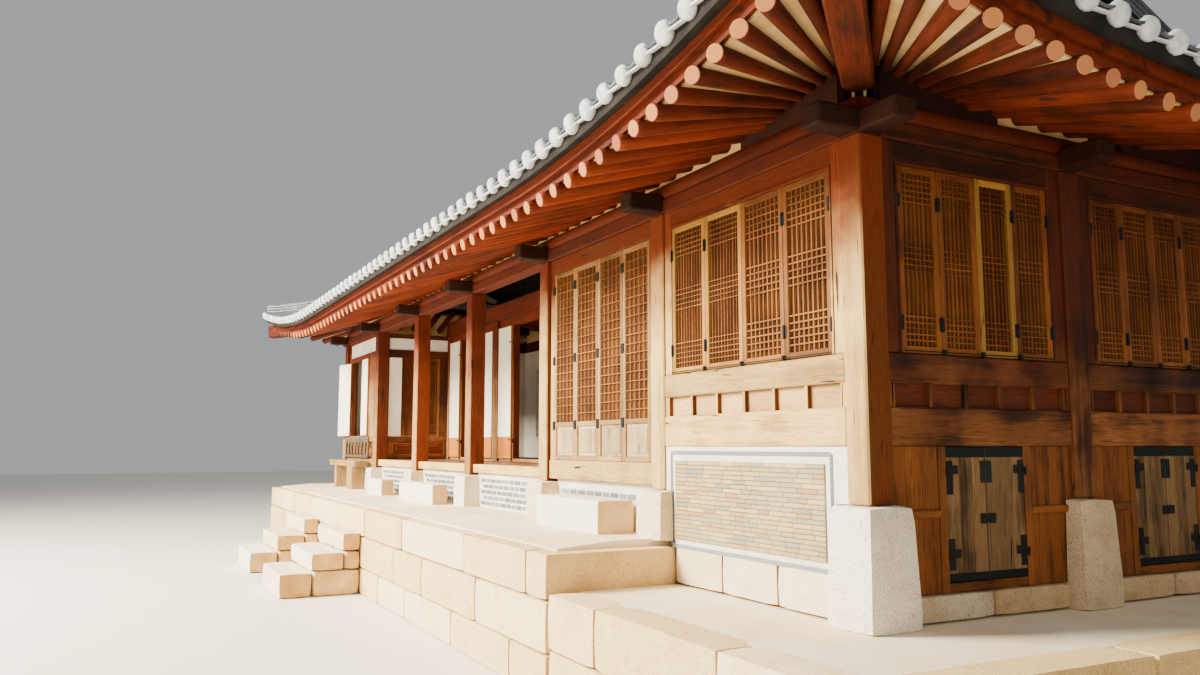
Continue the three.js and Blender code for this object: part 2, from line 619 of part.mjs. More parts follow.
// A window recessed from both faces of a wall, leaving one sheet for its frame, bars and paper
const backRecesses = (x) => [[BACK + wallHalf - PLAIN_WINDOW.recess, BACK + THROUGH],
  [BACK - THROUGH, BACK + wallHalf - PLAIN_WINDOW.recess - LEAF]].map(([y0, y1]) =>
  block(x - PLAIN_WINDOW.half, x + PLAIN_WINDOW.half, y0, y1, PLAIN_WINDOW.foot, PLAIN_WINDOW.top));
const westRecesses = (y) => [[WEST - THROUGH, WEST - wallHalf + PLAIN_WINDOW.recess],
  [WEST - wallHalf + PLAIN_WINDOW.recess + LEAF, WEST + THROUGH]].map(([x0, x1]) =>
  block(x0, x1, y - PLAIN_WINDOW.half, y + PLAIN_WINDOW.half, PLAIN_WINDOW.foot, PLAIN_WINDOW.top));

function backWall() {
  const start = WEST + HALF / 2;
  const end = -HALF / 2;
  const baseEast = PODIUM_EAST_END + GAP;
  const upper = block(start, end, BACK - wallInside, BACK + wallHalf, PLINTH_TOP - BURIED, wallTop);
  const base = block(start, baseEast + BURIED, BACK - BASE_INSIDE, BACK + 50, PODIUM_TOP + GAP, BASE_TOP);
  const store = block(baseEast, end, BACK - BASE_INSIDE, BACK + 50, BRICK_FOOT, BASE_TOP);
  const windows = [1, 2, 3, 4, 5, 6].flatMap((bay) => backRecesses(doorMiddle(bay)));
  return cut(join([upper, base, store]), [...outerCutters, ...windows]);
}

function westWall() {
  const end = BACK - BASE_INSIDE - GAP;
  const start = BASE_INSIDE + GAP;
  const upper = block(WEST - wallHalf, WEST + wallInside, HALF + GAP, BACK - wallInside - GAP,
    PLINTH_TOP + 60, wallTop);
  const base = block(WEST - 50, WEST + BASE_INSIDE, start, end, PODIUM_TOP + GAP, BASE_TOP);
  const rail = block(WEST - 50, WEST + wallInside, start, end, BASE_TOP - BURIED, PLINTH_TOP + 70);
  const windows = [0, 1].flatMap((index) => westRecesses((sideY(index) + sideY(index + 1)) / 2));
  return cut(join([upper, base, rail]), [...outerCutters, ...windows]);
}

add('back_wall', backWall(), 'plaster');
add('west_wall', westWall(), 'plaster');

// The axes of the rafters of one side: parallel over the wall, and in a fan towards each corner
function rulings(length) {
  const lines = [];
  const ruling = (tip, inner) => {
    const corner = Math.min(tip, length - tip) + EAVE_REACH;
    const out = RAFTER_REACH + bow(corner);
    lines.push({
      tip: new THREE.Vector3(tip, -out, RAFTER_TIP + lift(corner)),
      inner: new THREE.Vector3(inner, FAN_DEPTH, innerHeight)
    });
  };
  const fanStep = (RAFTER_REACH + FAN_DEPTH) / (FAN_COUNT + 0.9);
  const straight = length - 2 * FAN_DEPTH;
  const straightCount = Math.round(straight / RAFTER_STEP);
  for (let k = FAN_COUNT; k >= 1; k -= 1) ruling(FAN_DEPTH - fanStep * k, FAN_DEPTH);
  for (let k = 0; k <= straightCount; k += 1) {
    const a = FAN_DEPTH + straight * k / straightCount;
    ruling(a, a);
  }
  for (let k = 1; k <= FAN_COUNT; k += 1) ruling(length - FAN_DEPTH + fanStep * k, length - FAN_DEPTH);
  return lines;
}

const along = (line, share) => new THREE.Vector3().lerpVectors(line.tip, line.inner, share);
const raised = (point, up) => new THREE.Vector3(point.x, point.y, point.z + up);

// The rafter on the diagonal at one end of a side, widened by a clearance where it is a cutter
function hipRafter(length, atEnd, grow) {
  const place = (out, z) => point(atEnd ? length + out : -out, -out, z);
  const reach = RAFTER_REACH + CORNER_BOW;
  const tip = RAFTER_TIP + lift(EAVE_REACH - reach) + RAFTER_RADIUS - HIP_DROP;
  const half = HIP_WIDE / 2 + grow;
  const across = point(1, atEnd ? 1 : -1, 0).normalize().multiplyScalar(half);
  const ends = [place(reach + grow, tip), place(-FAN_DEPTH - grow, innerHeight + RAFTER_RADIUS - HIP_DROP)];
  const spare = grow > 0 ? HIP_DEEP : 0;
  const edge = (centre, hand, up) => raised(centre.clone().addScaledVector(across, hand), up);
  const rowAt = (centre, up) => [-1, 1].map((hand) => edge(centre, hand, up));
  const upper = ends.map((centre) => rowAt(centre, spare));
  const lower = ends.map((centre) => rowAt(centre, -HIP_DEEP - spare));
  return gridShell(upper, lower);
}

// The board along the rafter tips that the tiles rest on
function eavesBoard(lines, length) {
  const some = lines.filter((line, index) => index % 4 === 0 || index === lines.length - 1);
  const row = (share, up) => some.map((line) => raised(along(line, share), up));
  const board = gridShell([row(0.02, 260), row(0.045, 260)], [row(0.02, 40), row(0.045, 40)]);
  const form = length > BACK ? longSide : shortSide;
  return cut(board, [slope({ ...form, toWorld: point }, GAP)]);
}

// Rafters and the boarding on them: a shell whose underside steps down round each rafter
function eaves(length) {
  const lines = rulings(length);
  const shares = [0, 0.88];
  const upper = [];
  const lower = [];
  for (const share of shares) {
    const centres = lines.map((line) => along(line, share));
    const top = [];
    const bottom = [];
    centres.forEach((centre, index) => {
      const previous = centres[Math.max(index - 1, 0)];
      const next = centres[Math.min(index + 1, centres.length - 1)];
      const spacing = (next.x - previous.x) / (index === 0 || index === centres.length - 1 ? 1 : 2);
      const half = Math.min(RAFTER_RADIUS, spacing * 0.45);
      for (const [side, drop] of [[-1, 5], [-0.6, -RAFTER_RADIUS], [0.6, -RAFTER_RADIUS], [1, 5]]) {
        const point = new THREE.Vector3(centre.x + side * half, centre.y, centre.z);
        top.push(raised(point, RAFTER_RADIUS));
        bottom.push(raised(point, drop));
      }
    });
    upper.push(top);
    lower.push(bottom);
  }
  const shell = gridShell(upper, lower).add(eavesBoard(lines, length));
  if (length > BACK) {
    return join([shell, hipRafter(length, false, 0), hipRafter(length, true, 0)]);
  }
  return cut(shell, [hipRafter(length, false, GAP), hipRafter(length, true, GAP)]);
}

// A tiled slope in its own frame: rows run from the eaves edge up to the ridge or the gable
function tileHeight(inward, corner) {
  const decay = Math.max(0, 1 - inward / LIFT_DEPTH) ** 1.5;
  return EAVE_TOP + ROOF_SLOPE * inward + ROOF_CURVE * inward * inward + lift(corner) * decay;
}

// The slab of one slope. A grown one is a cutter, larger all round, and one that runs past its hips
// leaves no strip there.
function slope(side, grow, past = false) {
  const { length, run, verge, toWorld } = side;
  const columnShares = [0, 0.03, 0.07, 0.12, 0.2, 0.35, 0.65, 0.8, 0.88, 0.93, 0.97, 1];
  const rows = verge > 0 ? [0, verge, (verge + run) / 2, run] : [0, run / 2, run];
  const upper = [];
  const lower = [];
  rows.forEach((inward, index) => {
    const edge = verge > 0 ? Math.min(inward, verge) : inward;
    const mitre = past ? -HIP_GAP : (verge > 0 ? GAP : HIP_GAP) - grow * 2;
    const west = -EAVE_REACH + edge + mitre;
    const east = length + EAVE_REACH - edge - mitre;
    const last = index === rows.length - 1 ? grow * 2 : 0;
    const line = columnShares.map((share) => {
      const plain = west + (east - west) * share;
      const corner = Math.min(plain + EAVE_REACH, length + EAVE_REACH - plain);
      const out = bow(Math.max(corner, 0)) * Math.max(0, 1 - inward / EAVE_REACH);
      const sideOut = share === 0 ? -out : share === 1 ? out : 0;
      const height = tileHeight(inward, Math.max(corner, 0));
      return toWorld(plain + sideOut, -EAVE_REACH + inward - out + last, height);
    });
    upper.push(line.map((point) => raised(point, grow)));
    lower.push(line.map((point) => raised(point, -TILE_THICK - grow)));
  });
  return gridShell(upper, lower);
}

// One row of half-round cover tiles up a slope, as a ridge of four sides. Its stations stand off the
// slab's own rows, so that the two surfaces cross clearly.
function coverRow(side, place, corner, run) {
  const middle = side.verge > 0 ? [side.verge, (side.verge + side.run) / 2] : [side.run / 2];
  const inner = middle.map((inward) => inward + COVER_OFF_ROW);
  const stations = [COVER_START, ...inner.filter((inward) => inward < run - COVER_START), run];
  const across = (half, up) => stations.map((inward) => {
    const out = bow(corner) * Math.max(0, 1 - inward / EAVE_REACH);
    const height = tileHeight(inward, corner) + up;
    return [-half, half].map((offset) => side.toWorld(place + offset, -EAVE_REACH + inward - out, height));
  });
  return gridShell(across(COVER_CREST / 2, COVER_TALL), across(COVER_WIDE / 2, -COVER_START));
}

// The rows of cover tiles of one slope, at their spacing along the eaves
function coverRows(side) {
  const { length, verge } = side;
  const first = -EAVE_REACH + COVER_WIDE;
  const count = Math.round((length + 2 * EAVE_REACH - 2 * COVER_WIDE) / COVER_STEP);
  const step = (length + 2 * EAVE_REACH - 2 * COVER_WIDE) / count;
  const rows = [];
  for (let k = 1; k < count; k += 1) {
    const place = first + step * k;
    const corner = Math.min(place + EAVE_REACH, length + EAVE_REACH - place);
    const full = verge > 0 ? ridgeRun - RIDGE_WIDE / 2 - 1 : side.run - 3;
    const run = verge > 0 && corner > verge + COVER_WIDE / 2 ? full : Math.min(corner - 20, full);
    rows.push(coverRow(side, place, corner, run));
  }
  return join(rows);
}

const ridgeRun = RIDGE_Y + EAVE_REACH - GAP;
const vergeRun = EAVE_REACH - VERGE_OUT;
const gableRun = EAVE_REACH + GABLE_IN;
const longSide = { length: -WEST, run: ridgeRun, verge: vergeRun };
const shortSide = { length: BACK, run: gableRun, verge: 0 };
const sides = {
  front: { ...longSide, toWorld: (a, b, z) => point(WEST + a, b, z), x: WEST, y: 0, turn: 0 },
  back: { ...longSide, toWorld: (a, b, z) => point(-a, BACK - b, z), x: 0, y: BACK, turn: Math.PI },
  east: { ...shortSide, toWorld: (a, b, z) => point(-b, a, z), x: 0, y: 0, turn: Math.PI / 2 },
  west: {
    ...shortSide, toWorld: (a, b, z) => point(WEST + b, BACK - a, z), x: WEST, y: BACK, turn: -Math.PI / 2
  }
};

const tilesOver = [slope(sides.front, SEAT_GAP), slope(sides.back, SEAT_GAP)];
const tilesUnder = [slope(sides.east, SEAT_GAP, true), slope(sides.west, SEAT_GAP, true)];
const tilesAll = [...tilesOver, ...tilesUnder];

// The ridges: the main one with raised ends, and one down each verge and hip
function mainRidge() {
  const top = tileHeight(ridgeRun, LIFT_RUN);
  const ends = [WEST - VERGE_OUT - 40, VERGE_OUT + 40];
  const span = ends[1] - ends[0];
  const shares = [0, 0.08, 0.2, 0.5, 0.8, 0.92, 1];
  const rise = (share) => 240 * Math.abs(share * 2 - 1) ** 3;
  const outline = [...shares.map((share) => [ends[0] + span * share, top + RIDGE_TALL + rise(share)]),
    [ends[1], top - 40], [ends[0], top - 40]];
  return solid(alongPrism(outline, RIDGE_Y - RIDGE_WIDE / 2, RIDGE_Y + RIDGE_WIDE / 2));
}

// A ridge of upright section along a path, widened where it is a cutter
function ridgeSweep(path, grow) {
  const foot = grow > 0 ? -COVER_SPACE : -60;
  const upper = [];
  const lower = [];
  path.forEach((centre, index) => {
    const before = path[Math.max(index - 1, 0)];
    const after = path[Math.min(index + 1, path.length - 1)];
    const forward = new THREE.Vector3(after.x - before.x, after.y - before.y, 0).normalize();
    const across = new THREE.Vector3(-forward.y, forward.x, 0).multiplyScalar(RIDGE_WIDE / 2 + grow);
    const left = centre.clone().add(across);
    const right = centre.clone().sub(across);
    upper.push([raised(left, HIP_TALL), raised(right, HIP_TALL)]);
    lower.push([raised(left, foot), raised(right, foot)]);
  });
  return gridShell(upper, lower);
}

// The ridge down one hip and up the verge over it
function cornerRidge(mirrorX, mirrorY, grow) {
  const place = (dx, dy, z) => point(mirrorX ? WEST - EAVE_REACH + dx : EAVE_REACH - dx,
    mirrorY ? BACK + EAVE_REACH - dy : -EAVE_REACH + dy, z);
  const path = [];
  for (const inward of [30, 250, 600, 1000, 1300]) {
    path.push(place(inward, inward, tileHeight(inward, inward)));
  }
  const verge = vergeRun + RIDGE_WIDE / 2;
  for (const inward of [1700, 2400, 3100, ridgeRun]) {
    path.push(place(verge, inward, tileHeight(inward, LIFT_RUN)));
  }
  return ridgeSweep(path, grow);
}

const cornerRidges = (grow) => [[false, false], [false, true], [true, false], [true, true]].map(
  ([mirrorX, mirrorY]) => cornerRidge(mirrorX, mirrorY, grow));

const ridgeSpace = cornerRidges(1);

// The long slopes again, raised twice by the height of the cover tiles, for the short slopes to clear
const over = (bodies) => bodies.map((body) => body.translate([0, 0, COVER_SPACE]));
const spaceOver = [...tilesOver, ...over(tilesOver), ...over(over(tilesOver))];

for (const [name, side] of Object.entries(sides)) {
  add(`${name}_rafters`, eaves(side.length), 'pineRed', { x: side.x, y: side.y, z: 0, turn: side.turn });
  const tiles = slope(side, 0).add(cut(coverRows(side), ridgeSpace));
  add(`${name}_roof`, side.verge > 0 ? tiles : mainPiece(cut(tiles, spaceOver)), 'tile');
}

// Gable walls with the purlin ends that carry the bargeboards
const underside = (y) => tileHeight(Math.min(y, BACK - y) + EAVE_REACH, LIFT_RUN) - TILE_THICK - GAP;

function gable(wallX, boardX) {
  const foot = tileHeight(gableRun, LIFT_RUN) - 100;
  const shares = [0, 0.25, 0.5, 0.75, 1, 1.25, 1.5, 1.75, 2];
  const stations = shares.map((share) => GABLE_START + (RIDGE_Y - GABLE_START) * share);
  const wall = crossPrism([
    [GABLE_START, foot],
    ...stations.map((y) => [y, Math.max(underside(y) - 3, foot + 1)]),
    [BACK - GABLE_START, foot]
  ], wallX - 30, wallX + 30);
  const hipTop = tileHeight(EAVE_REACH - VERGE_OUT + 60, LIFT_RUN);
  const boardFoot = (y) => Math.max(underside(y) - 240, hipTop - 80);
  const boardStations = [200, 650, 1100, 1600, RIDGE_Y, BACK - 1600, BACK - 1100, BACK - 650, BACK - 200];
  const board = crossPrism([
    ...boardStations.map((y) => [y, underside(y) - 3]),
    ...boardStations.slice().reverse().map((y) => [y, boardFoot(y)])
  ], boardX - 18, boardX + 18);
  const [x0, x1] = [Math.min(wallX, boardX), Math.max(wallX, boardX)];
  const purlins = [RIDGE_Y, RIDGE_Y - 900, RIDGE_Y + 900].map((y) =>
    block(x0, x1, y - 70, y + 70, underside(y) - 220, underside(y) - 60));
  return mainPiece(cut(join([wall, board, ...purlins]), [...tilesAll, ...over(tilesUnder)]));
}

add('east_gable', gable(-GABLE_IN - 30 - GAP, VERGE_OUT - 60), 'plaster');
add('west_gable', gable(WEST + GABLE_IN + 30 + GAP, WEST - VERGE_OUT + 60), 'plaster');

// The ridges, seated on the slopes
add('roof_ridges', mainPiece(cut(join([mainRidge(), ...cornerRidges(0)]), tilesAll)), 'tile');

export default group;
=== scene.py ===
"""Looks of a timber house on a granite podium, with lattice windows, an open porch and a tiled roof.

Everything is in metres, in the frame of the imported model: X along the long front towards the corner
bay, Y from the front to the back, Z up from the ground.
"""
from __future__ import annotations

import json
import logging
import math
import random
from collections.abc import Callable
from dataclasses import dataclass, field
from enum import Enum
from functools import partial

import bpy
from mathutils import Euler, Matrix, Vector, noise

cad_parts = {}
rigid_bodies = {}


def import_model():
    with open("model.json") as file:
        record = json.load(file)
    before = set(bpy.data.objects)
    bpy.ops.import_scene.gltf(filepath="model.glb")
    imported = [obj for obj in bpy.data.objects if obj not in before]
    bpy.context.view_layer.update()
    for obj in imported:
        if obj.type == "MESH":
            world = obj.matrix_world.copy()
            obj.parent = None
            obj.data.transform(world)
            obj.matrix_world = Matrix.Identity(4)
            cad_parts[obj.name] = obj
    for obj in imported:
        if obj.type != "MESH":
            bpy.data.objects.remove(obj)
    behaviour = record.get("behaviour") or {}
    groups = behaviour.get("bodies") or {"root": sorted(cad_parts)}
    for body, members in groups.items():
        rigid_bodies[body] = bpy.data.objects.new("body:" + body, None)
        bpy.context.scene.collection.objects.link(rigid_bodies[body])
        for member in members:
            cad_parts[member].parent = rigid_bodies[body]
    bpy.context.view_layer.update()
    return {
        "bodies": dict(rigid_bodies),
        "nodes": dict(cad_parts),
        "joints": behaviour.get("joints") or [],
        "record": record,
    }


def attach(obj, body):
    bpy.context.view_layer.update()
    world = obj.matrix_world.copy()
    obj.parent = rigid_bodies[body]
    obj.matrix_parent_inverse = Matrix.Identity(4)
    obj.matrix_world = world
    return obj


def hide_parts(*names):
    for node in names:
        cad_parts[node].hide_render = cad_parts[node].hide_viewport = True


LOG = logging.getLogger("house")
NOISE_SEED = 7
Point = tuple[float, float, float]
Range = tuple[float, float]
Ring = tuple[int, ...]
Stops = tuple[tuple[float, str], ...]
Socket = bpy.types.NodeSocket
Adder = Callable[..., Socket]


class Axis(Enum):
    """A direction of the house's frame, for the run of a member's grain."""

    X = 0
    Y = 1
    Z = 2


class Side(Enum):
    """One side of the house, named by where it faces."""

    FRONT = "front"
    BACK = "back"
    EAST = "east"
    WEST = "west"

    @property
    def long(self) -> bool:
        """Whether it is one of the two long sides."""
        return self in (Side.FRONT, Side.BACK)


@dataclass(frozen=True)
class Grid:
    """The grid of column axes."""

    bay: float = 2.7
    front_bays: int = 6
    side_bay: float = 2.12
    side_bays: int = 2
    porch: float = 1.44
    half: float = 0.1125

    def x(self, index: int) -> float:
        """X of a column axis, counted from the corner bay."""
        return -self.bay * index

    def y(self, index: int) -> float:
        """Y of a side column axis, counted from the front."""
        return self.side_bay * index

    @property
    def west(self) -> float:
        """X of the westmost column axes."""
        return self.x(self.front_bays)

    @property
    def back(self) -> float:
        """Y of the back column axes."""
        return self.y(self.side_bays)


@dataclass(frozen=True)
class Levels:
    """Heights above the ground."""

    plinth: float = 1.71
    podium: float = 1.27
    podium_edge: float = 1.21
    terrace: float = 0.89
    floor: float = 1.86
    beam_foot: float = 4.33
    beam_top: float = 4.62


GRID = Grid()
LEVELS = Levels()


def linear(code: str) -> tuple[float, float, float, float]:
    """Turns an sRGB hex colour into linear RGBA.

    Args:
        code: Six hex digits.

    Returns:
        The linear colour with full alpha.
    """
    parts = [int(code[i:i + 2], 16) / 255 for i in (0, 2, 4)]
    curve = [part / 12.92 if part <= 0.04045 else ((part + 0.055) / 1.055) ** 2.4 for part in parts]
    return (curve[0], curve[1], curve[2], 1.0)


def add_node(tree: bpy.types.NodeTree, kind: str, settings: dict | None = None, links: dict | None = None,
             output: int | str = 0, stops: Stops = ()) -> Socket:
    """Adds one node to a tree.

    Args:
        tree: The tree that gets the node.
        kind: The node's type name.
        settings: Values by the name of a property, or by the name or number of an input.
        links: Output sockets by the name or number of the input that they feed.
        output: The name or number of the output that is wanted.
        stops: A colour ramp's positions and hex colours, from low to high.

    Returns:
        The wanted output.
    """
    made = tree.nodes.new(kind)
    for key, value in (settings or {}).items():
        if isinstance(key, int) or key in made.inputs:
            made.inputs[key].default_value = value
        else:
            setattr(made, key, value)
    for key, socket in (links or {}).items():
        tree.links.new(socket, made.inputs[key])
    if stops:
        elements = made.color_ramp.elements
        while len(elements) < len(stops):
            elements.new(0.5)
        for element, (position, code) in zip(elements, stops):
            element.position = position
            element.color = linear(code)
    return made.outputs[output]


COLOUR = {"data_type": "RGBA"}
OVER = {**COLOUR, "blend_type": "MULTIPLY", 0: 1.0}


@dataclass(frozen=True)
class Finish:
    """What every finish shares: its name, its roughness, how deep its surface is and the record's slot.

    The shades multiply its colour by the tone of each member, block or copy.
    """

    name: str
    roughness: float = 0.8
    depth: float = 0.002
    relief: float = 0.5
    sheen: float = 0.2
    slot: str = "pine_red"
    shades: Stops = ()

    def colour(self, add: Adder, given: dict[str, Socket]) -> tuple[Socket, Socket]:
        """Builds the colour and the height of the surface.

        Args:
            add: Adds a node to the material's tree.
            given: The place on the piece, and its tone, grain and sun attributes.

        Returns:
            The colour output and the height output.
        """
        raise NotImplementedError

    def material(self) -> bpy.types.Material:
        """Makes the material once, and returns it each time.

        Returns:
            The material.
        """
        found = bpy.data.materials.get(self.name)
        if found:
            return found
        made = bpy.data.materials.new(self.name)
        made.use_nodes = True
        tree = made.node_tree
        add = partial(add_node, tree)
        given = {"place": add("ShaderNodeTexCoord", output="Object")}
        for name, output in (("tone", "Fac"), ("sun", "Fac"), ("grain", "Vector")):
            given[name] = add("ShaderNodeAttribute", {"attribute_name": name}, output=output)
        colour, height = self.colour(add, given)
        if self.shades:
            shade = add("ShaderNodeValToRGB", None, {0: given["tone"]}, stops=self.shades)
            colour = add("ShaderNodeMix", OVER, {6: colour, 7: shade}, 2)
        shader = tree.nodes["Principled BSDF"]
        shader.inputs["Roughness"].default_value = self.roughness
        shader.inputs["Specular IOR Level"].default_value = self.sheen
        tree.links.new(colour, shader.inputs["Base Color"])
        bump = add("ShaderNodeBump", {"Strength": self.relief, "Distance": self.depth}, {"Height": height})
        tree.links.new(bump, shader.inputs["Normal"])
        return made


@dataclass(frozen=True)
class Timber(Finish):
    """Sawn or hewn pine: streaks of grain along each member, checks, and a tone that differs by board.

    Each pair is a light and a dark tone. The low ones are where sun and rain reach the wood, and the high
    ones, if any, are under the eaves, where they stand partly for wood kept from the weather and partly for
    painted shade of the eaves. Faces that look to the front or up may have their own sunny pair. It is paler,
    so the contrast between these faces and the darker others is partly bleaching and partly painted sunlight
    and shade.
    """

    shades: Stops = ((0.0, "C2C2C2"), (1.0, "FFFFFF"))
    low: tuple[str, str] = ("D9B27A", "B98A52")
    high: tuple[str, str] | None = None
    sunny: tuple[str, str] | None = None
    fade: Range = (2.6, 4.3)
    stain: str = "4A3524"
    stained: float = 0.35
    along: str = "grain"

    def colour(self, add: Adder, given: dict[str, Socket]) -> tuple[Socket, Socket]:
        """Builds the grain from noise drawn out along the member."""
        place = {"Vector": given["place"]}
        shift = add("ShaderNodeVectorMath", {"operation": "SCALE", 0: (13.0, 29.0, 41.0)},
                    {"Scale": given["tone"]})
        moved = add("ShaderNodeVectorMath", {"operation": "ADD"}, {0: given[self.along], 1: shift})
        drawn = {"Vector": add("ShaderNodeMapping", {"Scale": (0.06, 1.0, 1.0)}, {"Vector": moved})}
        # Growth rings 45 mm apart, and fibres of about 9 mm, drawn coarser than real ones so they show
        rings = add("ShaderNodeTexNoise", {"Scale": 22.0, "Detail": 6.0, "Distortion": 0.8}, drawn)
        fibres = add("ShaderNodeTexNoise", {"Scale": 110.0, "Detail": 4.0}, drawn)
        streak = add("ShaderNodeTexNoise", {"Scale": 9.0, "Detail": 4.0, "Roughness": 0.7}, drawn)
        cloud = add("ShaderNodeTexNoise", {"Scale": 2.2, "Detail": 3.0}, place)
        figure = add("ShaderNodeMapRange", {"From Min": 0.4, "From Max": 0.6}, {"Value": rings})

        def wood(light: str, dark: str) -> Socket:
            """Light and dark fibres, which trade places from one growth ring to the next."""
            late = add("ShaderNodeValToRGB", None, {0: fibres}, stops=((0.3, dark), (0.7, light)))
            early = add("ShaderNodeValToRGB", None, {0: fibres}, stops=((0.2, light), (0.8, dark)))
            return add("ShaderNodeMix", COLOUR, {0: figure, 6: late, 7: early}, 2)

        body = wood(*self.low)
        # Faces turned to the front or up take the sunny pair and the others keep the darker low pair: partly
        # bleaching, partly painted sunlight and shade
        if self.sunny:
            body = add("ShaderNodeMix", COLOUR, {0: given["sun"], 6: body, 7: wood(*self.sunny)}, 2)
        # Up from the fade every face goes to the high pair, or back to the low pair where there is none:
        # partly wood kept from the weather, partly painted shade of the eaves
        if self.high or self.sunny:
            height = add("ShaderNodeSeparateXYZ", None, place, "Z")
            uneven = add("ShaderNodeMath", {"operation": "MULTIPLY_ADD", 1: 1.4}, {0: cloud, 2: height})
            under = add("ShaderNodeMapRange", {"From Min": self.fade[0] + 0.7,
                                               "From Max": self.fade[1] + 0.7},
                        {"Value": uneven})
            body = add("ShaderNodeMix", COLOUR, {0: under, 6: body, 7: wood(*(self.high or self.low))}, 2)
        dirt = add("ShaderNodeMath", {"operation": "MULTIPLY_ADD", 1: 0.6}, {0: cloud, 2: streak})
        dirty = add("ShaderNodeMapRange", {"From Min": 0.78, "From Max": 0.98, "To Max": self.stained},
                    {"Value": dirt})
        body = add("ShaderNodeMix", {**COLOUR, 7: linear(self.stain)}, {0: dirty, 6: body}, 2)
        checks = add("ShaderNodeMapRange", {"From Min": 0.665, "From Max": 0.69}, {"Value": rings})
        body = add("ShaderNodeMix", {**COLOUR, 7: linear("3A2415")}, {0: checks, 6: body}, 2)
        return body, add("ShaderNodeMath", {"operation": "SUBTRACT"}, {0: fibres, 1: checks})


@dataclass(frozen=True)
class Stone(Finish):
    """Pointed granite: pale ground with dark and rusty grains, worked to a rough skin, and a darker shaded
    pair on the faces turned from the sun, which is painted shade.
    """

    slot: str = "granite"
    shades: Stops = ((0.0, "EFDFC0"), (0.5, "F8F0E0"), (1.0, "FFFFFF"))
    ground: tuple[str, str] = ("DCCBA8", "C6B391")
    # The tones of the faces turned from the sun: painted shade
    shaded: tuple[str, str] = ("C6A67A", "9E8058")
    speck: str = "8D8372"
    patch: str = "B79C72"

    def colour(self, add: Adder, given: dict[str, Socket]) -> tuple[Socket, Socket]:
        """Builds the speckle of 8 mm grains over cloudy patches."""
        place = {"Vector": given["place"]}
        cloud = add("ShaderNodeTexNoise", {"Scale": 2.6, "Detail": 6.0, "Roughness": 0.6}, place)
        grains = add("ShaderNodeTexNoise", {"Scale": 120.0, "Detail": 2.0}, place)
        pits = add("ShaderNodeTexNoise", {"Scale": 42.0, "Detail": 4.0}, place)
        # Faces turned to the front or up take the ground pair and the others the shaded pair, which is
        # painted shade
        shaded, bare = (add("ShaderNodeValToRGB", None, {0: cloud}, stops=((0.3, dark), (0.62, light)))
                        for light, dark in (self.shaded, self.ground))
        body = add("ShaderNodeMix", COLOUR, {0: given["sun"], 6: shaded, 7: bare}, 2)
        for source, low, high, share, code in ((cloud, 0.55, 0.7, 0.5, self.patch),
                                               (grains, 0.56, 0.66, 1.0, self.speck)):
            mask = add("ShaderNodeMapRange", {"From Min": low, "From Max": high, "To Max": share},
                       {"Value": source})
            body = add("ShaderNodeMix", {**COLOUR, 7: linear(code)}, {0: mask, 6: body}, 2)
        return body, pits


@dataclass(frozen=True)
class Mottled(Finish):
    """A surface of one substance with cloudy tones and fine grit, such as plaster, clay tile or paper."""

    tones: tuple[str, str] = ("F0ECE2", "DDD6C6")
    grit: float = 60.0
    cloud: float = 1.8
    spots: str = ""
    by_piece: tuple[str, ...] = ()

    def colour(self, add: Adder, given: dict[str, Socket]) -> tuple[Socket, Socket]:
        """Builds clouds of two tones, with spots and a tone for each piece where asked."""
        place = {"Vector": given["place"]}
        cloud = add("ShaderNodeTexNoise", {"Scale": self.cloud, "Detail": 6.0}, place)
        grit = add("ShaderNodeTexNoise", {"Scale": self.grit, "Detail": 3.0}, place)
        light, dark = self.tones
        body = add("ShaderNodeValToRGB", None, {0: cloud}, stops=((0.35, dark), (0.65, light)))
        if self.by_piece:
            steps = tuple((index / len(self.by_piece), code) for index, code in enumerate(self.by_piece))
            pieces = add("ShaderNodeValToRGB", None, {0: given["tone"]}, stops=steps)
            body = add("ShaderNodeMix", {**COLOUR, 0: 0.8}, {6: body, 7: pieces}, 2)
        if self.spots:
            mask = add("ShaderNodeMapRange", {"From Min": 0.6, "From Max": 0.68}, {"Value": grit})
            body = add("ShaderNodeMix", {**COLOUR, 7: linear(self.spots)}, {0: mask, 6: body}, 2)
        return body, grit


@dataclass(frozen=True)
class EndGrain(Finish):
    """A sawn round log end: pale wood with rings about its own middle."""

    shades: Stops = ((0.0, "CFA8A0"), (0.5, "F4E4D0"), (1.0, "FFF4C8"))
    tones: tuple[str, str] = ("E9B98F", "C98C5C")

    def colour(self, add: Adder, given: dict[str, Socket]) -> tuple[Socket, Socket]:
        """Builds rings 9 mm apart from the distance to the log's axis, kept in the grain attribute."""
        rings = add("ShaderNodeTexWave", {"wave_type": "RINGS", "rings_direction": "X", "Scale": 28.0,
                                          "Distortion": 1.5}, {"Vector": given["grain"]}, "Fac")
        light, dark = self.tones
        return add("ShaderNodeValToRGB", None, {0: rings}, stops=((0.0, dark), (0.6, light))), rings


